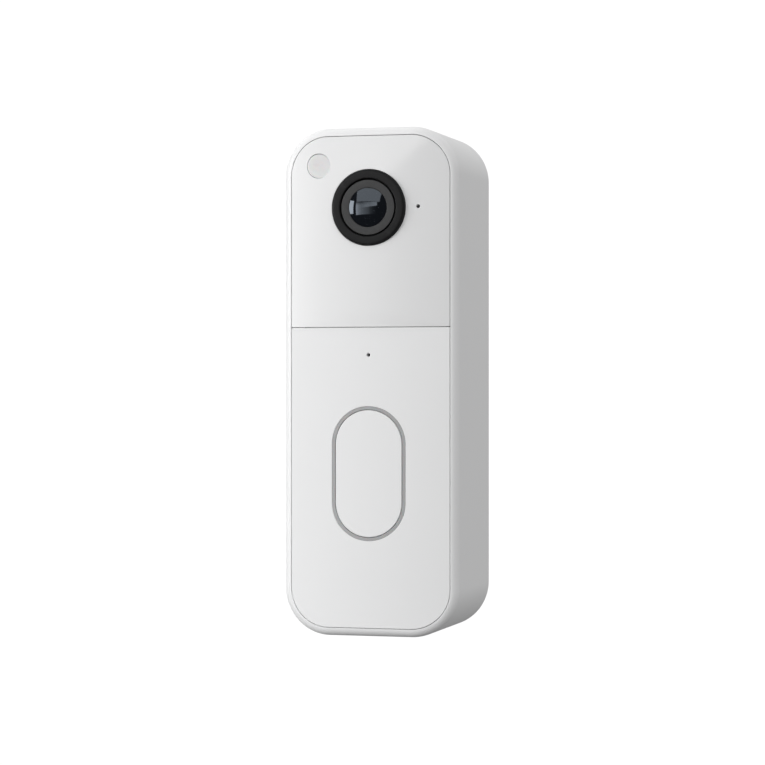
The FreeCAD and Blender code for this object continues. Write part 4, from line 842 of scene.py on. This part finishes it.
def foam(name, colour, cell):
    """Open foam: each Voronoi cell is a small pit, with painted shade darkening its colour towards the
    bottom.
    """
    material = new_material(name)
    place = add(material, "ShaderNodeTexCoord").outputs["Object"]
    pit_depth_and_shade = add(material, "ShaderNodeTexVoronoi", {"Vector": place, "Scale": 1 / cell}).outputs["Distance"]
    # painted shade: the colour is darker towards the bottom of each pit, where shade would fall
    tint = blended(material, pit_depth_and_shade, shade(colour, 0.6), shade(colour, 1.3))
    bump = add(material, "ShaderNodeBump", {"Height": pit_depth_and_shade, "Strength": 1.0, "Distance": 0.25 * cell})
    surface(material, Base_Color=tint, Roughness=spread(material, pit_depth_and_shade, 0.95, 0.8, 0.0, 0.7),
            Normal=bump.outputs[0])
    return material


def brushed(name, colour, rough, along=(1.0, 1.0, 0.06), scale=3200.0, worn=0.3):
    """Bare or plated metal with fine scratches running one way."""
    material = new_material(name)
    place = add(material, "ShaderNodeTexCoord").outputs["Object"]
    drawn = add(material, "ShaderNodeMapping", {"Vector": place, "Scale": along}).outputs[0]
    scratches = noise(material, drawn, scale, 4.0)
    cloud = noise(material, place, 120.0)
    point = add(material, "ShaderNodeNewGeometry").outputs["Pointiness"]
    tarnish = blended(material, cloud, shade(colour, 0.86), shade(colour, 1.05))
    tint = blended(material, spread(material, point, 0.0, worn, 0.52, 0.62), tarnish, shade(colour, 1.3))
    bump = add(material, "ShaderNodeBump", {"Height": scratches, "Strength": 1.0, "Distance": 0.002 * MM})
    surface(material, Base_Color=tint, Roughness=spread(material, scratches, rough - 0.08, rough + 0.1),
            Metallic=1.0, Normal=bump.outputs[0])
    return material


foam_black = foam("foam_black", (0.03, 0.03, 0.032), 0.35 * MM)
screw_steel = brushed("screw_steel", (0.55, 0.56, 0.58), 0.32, along=(1.0, 0.1, 1.0))
contact_steel = brushed("contact_nickel", (0.66, 0.64, 0.60), 0.28)
shield_metal = brushed("shield_tinned", (0.60, 0.61, 0.62), 0.36, along=(0.08, 1.0, 1.0), scale=2000.0)
antenna_brass = brushed("antenna_gold_plate", (0.78, 0.58, 0.28), 0.3)
flex_amber = moulded("flex_amber", (0.45, 0.20, 0.04), 0.3, grain=700.0, relief=0.006, drift=0.08,
                     Coat_Weight=0.5, Coat_Roughness=0.2)
print("inside finishes ready")

# %% [markdown]
# A circuit board is glass cloth under green lacquer. The copper tracks under the
# lacquer show as slightly lighter, slightly raised lanes. A brick texture, very long
# and narrow, gives straight lanes with gaps between them at the width of real tracks.

# %% Circuit board and the slot catalogue
def circuit_board(name, lacquer, track):
    material = new_material(name)
    place = add(material, "ShaderNodeTexCoord").outputs["Object"]
    quarter_turn = {"Vector": place, "Rotation": (math.radians(90), 0.0, 0.0)}
    turned_up = add(material, "ShaderNodeMapping", quarter_turn)
    lanes = add(material, "ShaderNodeTexBrick", {"Vector": turned_up.outputs[0], "Scale": 260.0,
                                                 "Brick Width": 2.4, "Row Height": 0.16, "Mortar Size": 0.035,
                                                 "Mortar Smooth": 0.3}).outputs["Fac"]
    weave = noise(material, place, 2600.0)
    tint = blended(material, lanes, track, lacquer)
    height = add(material, "ShaderNodeMath", {0: lanes, 1: weave}, operation="SUBTRACT").outputs[0]
    bump = add(material, "ShaderNodeBump", {"Height": height, "Strength": 0.6, "Distance": 0.02 * MM},
               invert=True)
    surface(material, Base_Color=tint, Roughness=spread(material, weave, 0.25, 0.42), Normal=bump.outputs[0],
            Coat_Weight=0.5, Coat_Roughness=0.15)
    return material


board_green = circuit_board("board_green", (0.012, 0.09, 0.035), (0.03, 0.17, 0.07))
finish_of_slot = {
    "frame_white": frame_white, "face_gloss_white": gloss_white, "face_matte_white": matte_white,
    "frost_grey": frost_grey, "window_white": window_white, "gloss_black": gloss_black,
    "dark_anodised": dark_anodised, "lens_glass": lens_glass, "clear_plastic": clear_plastic,
    "housing_grey": housing_grey, "plate_grey": plate_grey, "latch_grey": latch_grey,
    "foam_black": foam_black, "seal_rubber": seal_rubber, "screw_steel": screw_steel,
    "contact_steel": contact_steel, "cell_wrap": cell_wrap, "board_green": board_green,
    "chip_black": chip_black, "shield_metal": shield_metal, "antenna_brass": antenna_brass,
    "flex_amber": flex_amber, "lamp_clear": lamp_clear, "plunger_red": plunger_red, "cone_paper": cone_paper}


def finish_for(node):
    return finish_of_slot[slot_of_node[node]]


for node, thing in frame["nodes"].items():
    thing.data.materials.clear()
    thing.data.materials.append(finish_for(node))
frame["nodes"]["lens_barrel"].data.materials[0] = barrel_black
frame["nodes"]["filter_glass"].data.materials[0] = filter_blue
print("every frame node has a finish:", len(frame["nodes"]))

# %% [markdown]
# The outer frame is one moulding: a tall sleeve whose front edge rolls over onto the
# face. The profile is a quarter of an ellipse, about two millimetres across and as much
# in depth, swept round the case outline, with a tiny lip where it meets the seam.

# %% Outer frame
ROLL_WIDTH = 1.95 * MM
ROLL_DEPTH = 2.0 * MM
ROLL_STEPS = 12
LIP_ROUND = 0.06 * MM
LEDGE_WIDTH = 1.5 * MM
LEDGE_BACK = 27.0 * MM
GASKET = 0.4 * MM

case_outline = rounded_outline(case_width, case_height, CORNER, steps=22)
frame_rear = -case_high.y
profile = [(0.25 * MM, frame_rear, 0.0), (0.0, frame_rear + 0.25 * MM, 0.0)]
for step in range(ROLL_STEPS + 1):
    turn = math.pi / 2 * step / ROLL_STEPS
    profile.append((ROLL_WIDTH * (1 - math.cos(turn)), None, ROLL_DEPTH * (1 - math.sin(turn))))
profile += [(WALL - LIP_ROUND / 2, None, 0.0), (WALL, None, LIP_ROUND),
            (WALL, None, FACE_THICKNESS + GASKET),
            (WALL + LEDGE_WIDTH, None, FACE_THICKNESS + GASKET),
            (WALL + LEDGE_WIDTH, LEDGE_BACK, 0.0), (WALL, LEDGE_BACK, 0.0),
            (WALL, frame_rear + 0.2 * MM, 0.0), (WALL - 0.2 * MM, frame_rear, 0.0)]
sleeve = swept_case("outer_frame_finished", case_outline, profile, face_depth)
print("outer frame", [round(v / MM, 1) for v in sleeve.dimensions])

# %% [markdown]
# Openings go through the lower wall: five slots for the speaker, a notch for the latch
# and a pin hole for the release tool. Each cutter is a closed shape that passes right
# through the wall, and the cut is made by a Boolean modifier that is then applied, so
# that the edges can be rounded afterwards.

# %% Openings in the lower wall
SLOT_COUNT = 5
SLOT_SPACING = 2.4 * MM
SLOT_WIDTH = 1.1 * MM
SLOT_LENGTH = 7.0 * MM
SPEAKER_DISTANCE = 16.575 * MM
NOTCH_WIDTH = 7.4 * MM
NOTCH_DEPTH = 2.7 * MM
CATCH_DEPTH = 1.1 * MM
TOOL_HOLE_RADIUS = 1.1 * MM
TOOL_HOLE_DISTANCE = 1.75 * MM


def upright_prism(work, loop, bottom, top):
    """A closed prism over a loop of (x, distance from the wall) points."""
    low = [work.verts.new((x, -d, bottom)) for x, d in loop]
    high = [work.verts.new((x, -d, top)) for x, d in loop]
    join_rings(work, low, high)
    work.faces.new(low[::-1])
    work.faces.new(high)


def cut_with(thing, name, build):
    """Cut the shape that `build` makes out of a piece, and keep the plain mesh."""
    cutter = link_mesh(name, build)
    work = bmesh.new()
    work.from_mesh(cutter.data)
    bmesh.ops.recalc_face_normals(work, faces=work.faces)
    work.to_mesh(cutter.data)
    work.free()
    cut = thing.modifiers.new("cut", "BOOLEAN")
    cut.object = cutter
    cut.operation = "DIFFERENCE"
    cut.solver = "EXACT"
    applied = bpy.data.meshes.new_from_object(thing.evaluated_get(bpy.context.evaluated_depsgraph_get()))
    thing.modifiers.clear()
    thing.data = applied
    bpy.data.objects.remove(cutter)
    return sharpen(thing)


def frame_openings(work):
    bottom, top = case_low.z - MM, case_low.z + WALL + MM
    for index in range(SLOT_COUNT):
        x = (index - (SLOT_COUNT - 1) / 2) * SLOT_SPACING
        slot = rounded_outline(SLOT_WIDTH, SLOT_LENGTH, SLOT_WIDTH / 2, (x, SPEAKER_DISTANCE), 6)
        upright_prism(work, slot(), bottom, top)
    notch = rounded_outline(NOTCH_WIDTH, 2 * NOTCH_DEPTH, 0.3 * MM, (0.0, 0.0), 3)
    upright_prism(work, notch(), case_low.z + WALL - CATCH_DEPTH, top)
    hole = circle_outline(TOOL_HOLE_RADIUS, (0.0, TOOL_HOLE_DISTANCE), 32)
    upright_prism(work, hole(), bottom, case_low.z + WALL - 0.5 * CATCH_DEPTH)


bpy.context.view_layer.update()
cut_with(sleeve, "frame_cutter", frame_openings)
dress(sleeve, frame_white, "outer_frame")
print("frame faces after cutting:", len(sleeve.data.polygons))

# %% [markdown]
# Two faceplates close the front. The upper one is glossy, with large corners above and
# almost square ones at the split; the lower one mirrors it in matt. Their outlines
# need a different corner radius at each end, so they get an outline of their own.
# The rounded edges along the split are what draw the fine light and dark lines there.

# %% Faceplates
SPLIT_CORNER = 0.35 * MM
PLATE_EDGE = 0.12 * MM
LENS_HOLE = 9.78 * MM
WINDOW_HOLE = 3.18 * MM
LIGHT_HOLE = 0.45 * MM
SOUND_HOLE = 0.45 * MM
RING_WIDTH = 19.5 * MM
RING_LENGTH = 34.4 * MM


def middle_of(node):
    """Place of a node across the face: (x, z)."""
    low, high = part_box(node)
    return (low.x + high.x) / 2, (low.z + high.z) / 2


def panel_outline(low, high, radius_low, radius_high, steps=18):
    """A faceplate's outline between two heights, with its own corner radius at each end."""
    def at(inset=0.0):
        half_w = case_width / 2 - WALL - SEAM - inset
        points = []
        for quarter, (sx, sz) in enumerate(((1, 1), (-1, 1), (-1, -1), (1, -1))):
            bend = max((radius_high if sz > 0 else radius_low) - inset, 1e-5)
            centre_z = high - inset - bend if sz > 0 else low + inset + bend
            for step in range(steps + 1):
                angle = math.radians(90 * (quarter + step / steps))
                points.append((sx * (half_w - bend) + bend * math.cos(angle),
                               centre_z + bend * math.sin(angle)))
        return points
    return at


upper_low, upper_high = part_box("upper_faceplate")
lower_low, lower_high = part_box("lower_faceplate")
panel_corner = CORNER - WALL - SEAM
window_centre = middle_of("motion_window")
light_centre = middle_of("light_pipe")
button_centre = middle_of("button_cap")
sound_centre = middle_of("microphone_boot")
ring_outline = rounded_outline(RING_WIDTH, RING_LENGTH, RING_WIDTH / 2, button_centre, 30)

upper_plate = plate("upper_faceplate_finished",
                    panel_outline(upper_low.z, upper_high.z, SPLIT_CORNER, panel_corner),
                    [circle_outline(LENS_HOLE, lens_centre, 96),
                     circle_outline(WINDOW_HOLE, window_centre, 48),
                     circle_outline(LIGHT_HOLE, light_centre, 24)], edge=PLATE_EDGE)
lower_plate = plate("lower_faceplate_finished",
                    panel_outline(lower_low.z, lower_high.z, panel_corner, SPLIT_CORNER),
                    [ring_outline, circle_outline(SOUND_HOLE, sound_centre, 24)], edge=PLATE_EDGE)
dress(upper_plate, gloss_white, "upper_faceplate")
dress(lower_plate, matte_white, "lower_faceplate")
print("faceplate points:", len(upper_plate.data.vertices), len(lower_plate.data.vertices))

# %% [markdown]
# The button is a pill-shaped cap inside a frosted ring. Both follow the crown of the
# face. The ring sits a hair lower than the plate, so a shadow settles along its upper
# edge. Each piece keeps the flange behind the plate that holds it in.

# %% Light ring and button cap
RING_LINE = 0.87 * MM
RING_DROP = 0.06 * MM
RING_EDGE = 0.1 * MM
FLANGE_WIDTH = 2.0 * MM
FLANGE_BACK = -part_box("light_ring")[1].y
FLANGE_FRONT = FLANGE_BACK + 1.2 * MM
CAP_FIT = 0.12 * MM
CAP_FLANGE = 0.9 * MM
CAP_FLANGE_FRONT = FLANGE_BACK - 0.1 * MM
CAP_FLANGE_BACK = CAP_FLANGE_FRONT - 1.0 * MM
CAP_SKIRT = 1.5 * MM

light_ring = swept_case("light_ring_finished", ring_outline, [
    (RING_EDGE, None, RING_DROP), (0.0, None, RING_DROP + RING_EDGE), (0.0, FLANGE_FRONT, 0.0),
    (RING_EDGE - FLANGE_WIDTH, FLANGE_FRONT, 0.0), (-FLANGE_WIDTH, FLANGE_FRONT - RING_EDGE, 0.0),
    (-FLANGE_WIDTH, FLANGE_BACK, 0.0), (RING_LINE, FLANGE_BACK, 0.0),
    (RING_LINE, None, RING_DROP + RING_EDGE), (RING_LINE - RING_EDGE, None, RING_DROP)], face_depth)
dress(light_ring, frost_grey, "light_ring")

cap_inset = RING_LINE + CAP_FIT
cap_outline = rounded_outline(RING_WIDTH - 2 * cap_inset, RING_LENGTH - 2 * cap_inset,
                              RING_WIDTH / 2 - cap_inset, button_centre, 30)
cap_face = plate("button_cap_finished", cap_outline, edge=0.2 * MM)
cap_skirt = swept_case("button_cap_skirt", cap_outline, [
    (0.0, None, FACE_THICKNESS - 0.1 * MM),
    (0.0, CAP_FLANGE_FRONT, 0.0), (-CAP_FLANGE, CAP_FLANGE_FRONT, 0.0),
    (-CAP_FLANGE, CAP_FLANGE_BACK, 0.0), (CAP_SKIRT, CAP_FLANGE_BACK, 0.0),
    (CAP_SKIRT, None, FACE_THICKNESS - 0.1 * MM)], face_depth)
cap_back = -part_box("button_cap")[1].y
CAP_POST = 2.2 * MM
CAP_POST_EDGE = 0.3 * MM
cap_post = turned("button_cap_post", [
    (0.0, cap_back), (CAP_POST - CAP_POST_EDGE, cap_back), (CAP_POST, cap_back + CAP_POST_EDGE),
    (CAP_POST, face_front - FACE_THICKNESS), (0.0, face_front - FACE_THICKNESS)], button_centre, 48,
    closed=False)


def merged(first, *others):
    """Put pieces of one moulding into one object."""
    work = bmesh.new()
    for thing in (first, *others):
        work.from_mesh(thing.data)
    work.to_mesh(first.data)
    work.free()
    for thing in others:
        bpy.data.objects.remove(thing)
    return sharpen(first, 40.0)


button_cap = merged(cap_face, cap_skirt, cap_post)
dress(button_cap, matte_white, "button_cap")
print("button cap", [round(v / MM, 1) for v in button_cap.dimensions])

# %% [markdown]
# Now the camera's eye, from the outside in. A black ring stands one millimetre proud
# of the face, with a well-rounded outer edge. Inside it, almost flush and behind a
# narrow groove, sits a flat grey retaining ring, and that ring clamps a small domed
# glass. All are lathe work, so all are spun profiles.

# %% Lens rings
def in_mm(corners):
    return rounded_profile([(r * MM, d * MM, bend * MM) for r, d, bend in corners])


lens_front = -ring_low.y / MM
RETAINER_FRONT = lens_front - 0.15
SHOULDER = lens_front - 2.2
black_ring = turned("lens_outer_ring_finished", in_mm([
    (6.4, 28.3, 0), (9.7, 28.3, 0), (9.7, 31.33, 0), (11.4, 31.33, 0), (11.4, 32.83, 0),
    (9.7, 32.83, 0),
    (9.7, lens_front, 0.75), (7.45, lens_front, 0.25), (7.35, lens_front - 0.5, 0.1),
    (7.35, SHOULDER, 0), (6.4, SHOULDER, 0)]), lens_centre, 160)
dress(black_ring, gloss_black, "lens_outer_ring")

retainer = turned("lens_retainer_finished", in_mm([
    (5.0, SHOULDER, 0), (7.0, SHOULDER, 0), (7.0, RETAINER_FRONT, 0.1),
    (5.05, RETAINER_FRONT, 0.08), (5.0, RETAINER_FRONT - 0.4, 0)]), lens_centre, 160)
dress(retainer, dark_anodised, "lens_retainer")

# %% [markdown]
# The front glass is a shallow dome. Its profile is a true circular arc through the
# edge and the apex, sampled evenly in angle, so that reflections slide over it without
# kinks. Behind it the barrel narrows in dark steps, which stop stray light.

# %% Front glass, barrel and inner lenses
GLASS_RADIUS = 4.95
GLASS_DOME = 0.8
GLASS_EDGE = RETAINER_FRONT - 0.1
GLASS_BACK = 33.2


def lens_profile(radius, back, edge, dome, steps=14):
    """A lens with a flat back and a spherical front that rises `dome` above its edge."""
    sphere = (radius ** 2 + dome ** 2) / (2 * dome)
    reach = math.asin(radius / sphere)
    front = [(sphere * math.sin(reach * (1 - i / steps)),
              edge + dome - sphere + sphere * math.cos(reach * (1 - i / steps))) for i in range(steps + 1)]
    corners = [(0.0, back), (radius - 0.08, back), (radius, back + 0.08)] + front
    return [(max(r, 0.0) * MM, d * MM) for r, d in corners]


front_glass = turned("front_lens_finished", lens_profile(GLASS_RADIUS, GLASS_BACK, GLASS_EDGE, GLASS_DOME),
                     lens_centre, 120, closed=False)
dress(front_glass, lens_glass, "front_lens")

barrel = turned("lens_barrel_finished", in_mm([
    (5.4, 21.0, 0), (6.3, 21.0, 0.15), (6.3, GLASS_BACK, 0.15), (4.9, GLASS_BACK, 0), (4.7, 32.9, 0),
    (4.3, 32.85, 0), (4.3, 22.2, 0), (5.4, 22.2, 0)]), lens_centre, 96)
dress(barrel, barrel_black, "lens_barrel")

INNER_RADIUS = 4.28
INNER_BULGE = 0.35
INNER_PLACES = ((31.0, 1.6), (27.6, 1.2), (23.6, 1.8))
inner = []
for index, (back, thickness) in enumerate(INNER_PLACES):
    dome = thickness * INNER_BULGE
    profile = lens_profile(INNER_RADIUS, back, back + thickness - dome, dome)
    inner.append(turned("inner_lens_" + str(index), profile, lens_centre, 72, closed=False))
inner_lenses = merged(*inner)
inner_lenses.name = "inner_lenses_finished"
dress(inner_lenses, lens_glass, "inner_lenses")
print("lens stands", round(lens_front - face_front / MM, 2), "mm above the face")

# %% [markdown]
# The motion window is a small Fresnel lens: fine rings moulded into milky plastic so
# that warmth from any side is thrown onto the sensor. Seen close, the rings are what
# gives it its dotted shimmer. It sits just below the glossy plate, in a hole with a
# crisp edge, and that makes the dark crescent on one side and the bright rim opposite.

# %% Motion window
WINDOW_RADIUS = 3.1
WINDOW_BACK = 1.6
WINDOW_SUNK = 0.28
WINDOW_RINGS = 11
RING_HEIGHT = 0.05
RING_SLANT = 0.03
WINDOW_RISE = 0.18
window_face = face_depth(window_centre[0]) / MM - WINDOW_SUNK
window_profile = [(0.0, window_face - WINDOW_BACK), (WINDOW_RADIUS, window_face - WINDOW_BACK),
                  (WINDOW_RADIUS, window_face - 0.1), (WINDOW_RADIUS - 0.1, window_face)]
pitch = (WINDOW_RADIUS - 0.3) / WINDOW_RINGS
for ring in range(WINDOW_RINGS, 0, -1):
    rise = WINDOW_RISE * (1 - (ring / WINDOW_RINGS) ** 2)
    window_profile += [(ring * pitch, window_face + rise),
                       (ring * pitch - RING_SLANT, window_face + rise + RING_HEIGHT)]
window_profile.append((0.0, window_face + WINDOW_RISE + RING_HEIGHT))
motion_window = turned("motion_window_finished", [(r * MM, d * MM) for r, d in window_profile],
                       window_centre, 96, closed=False)
dress(motion_window, window_white, "motion_window")

LIGHT_RADIUS = 0.4
light_front = face_depth(light_centre[0]) / MM - 0.12
pipe_back = -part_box("light_pipe")[1].y / MM
light_pipe = turned("light_pipe_finished", in_mm([
    (0.0, pipe_back, 0), (LIGHT_RADIUS, pipe_back, 0.1), (LIGHT_RADIUS, light_front, 0.12),
    (0.0, light_front, 0)]), light_centre, 40, closed=False)
dress(light_pipe, clear_plastic, "light_pipe")
print("motion window has", WINDOW_RINGS, "rings,", round(pitch, 3), "mm apart")

# %% [markdown]
# Everything behind the face shows when the unit leaves its wall plate. Injection moulded
# parts, stamped steel and chips never have knife edges, so each keeps the frame's
# shape with its edges rounded by the amount its own process leaves: three tenths of a
# millimetre on a cover you hold, a few hundredths on a circuit board.

# %% Rounded pieces behind the face
EDGE_OF = {
    0.3: ("battery_cover", "wall_plate"),
    0.2: ("rear_housing", "inner_chassis", "release_latch", "speaker_basket", "camera_housing",
          "reset_button", "motion_sensor", "infrared_lamps"),
    0.12: ("housing_screws", "cover_screws", "terminal_screws", "board_screws", "speaker_magnet",
           "button_switch", "button_plunger", "reset_switch", "reset_plunger", "shield_can",
           "microphone_boot", "housing_seal", "cover_gasket", "speaker_seal"),
    0.06: ("board_chips", "microphone", "light_sensor", "ring_lamps", "terminal_plates", "light_guide",
           "antenna", "main_board", "button_board", "camera_board", "image_sensor", "filter_frame",
           "battery_contacts"),
}
for edge, nodes in EDGE_OF.items():
    for node in nodes:
        dress(softened(node, edge * MM), finish_for(node), node)
print("rounded pieces:", sum(len(nodes) for nodes in EDGE_OF.values()))

# %% [markdown]
# A battery cell is a steel can in a printed sleeve. The sleeve is shrunk over both ends,
# so a thin ring of it curls onto the flat end and the bare steel shows inside that ring.
# The two cells lie side by side, one each way up.

# %% Battery cells
CELL_RADIUS = 7.25 * MM
CELL_LENGTH = 49.5 * MM
CELL_CURL = 1.3 * MM
CELL_ROUND = 0.5 * MM
NUB_RADIUS = 2.75 * MM
NUB_LENGTH = 1.0 * MM
SLEEVE = 0.08 * MM


def stood_up(thing, place, up):
    """Turn a piece spun about the origin so that its axis is upright, starting at `place`."""
    for vertex in thing.data.vertices:
        x, y, z = vertex.co
        vertex.co = (place[0] + x, place[1] + up * z, place[2] - up * y)
    return thing


cells_low, cells_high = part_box("battery_cells")
cell_x = cells_high.x - CELL_RADIUS
cell_y = (cells_low.y + cells_high.y) / 2
cell_places = (((-cell_x, cell_y, cells_high.z - NUB_LENGTH - CELL_LENGTH), 1),
               ((cell_x, cell_y, cells_low.z + NUB_LENGTH + CELL_LENGTH), -1))
sleeves, cans = [], []
for number, (place, up) in enumerate(cell_places):
    sleeve = turned(f"cell_sleeve_{number}", rounded_profile([
        (CELL_RADIUS - CELL_CURL, 0.0, 0), (CELL_RADIUS, 0.0, CELL_ROUND),
        (CELL_RADIUS, CELL_LENGTH, CELL_ROUND), (CELL_RADIUS - CELL_CURL, CELL_LENGTH, 0)]),
        (0.0, 0.0), 96, closed=False)
    can = turned(f"cell_can_{number}", rounded_profile([
        (0.0, SLEEVE, 0), (CELL_RADIUS - SLEEVE, SLEEVE, CELL_ROUND),
        (CELL_RADIUS - SLEEVE, CELL_LENGTH - SLEEVE, CELL_ROUND),
        (NUB_RADIUS + CELL_ROUND, CELL_LENGTH - SLEEVE, 0),
        (NUB_RADIUS, CELL_LENGTH, 0), (NUB_RADIUS, CELL_LENGTH + NUB_LENGTH, CELL_ROUND / 2),
        (0.0, CELL_LENGTH + NUB_LENGTH, 0)]), (0.0, 0.0), 96, closed=False)
    sleeves.append(stood_up(sleeve, place, up))
    cans.append(stood_up(can, place, up))
dress(merged(*sleeves), cell_wrap, "battery_cells")
cell_cans = dress(merged(*cans), contact_steel)
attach(cell_cans, body_of_node("battery_cells"))
print("cells", [round(v / MM, 1) for v in cell_cans.dimensions], "mm")
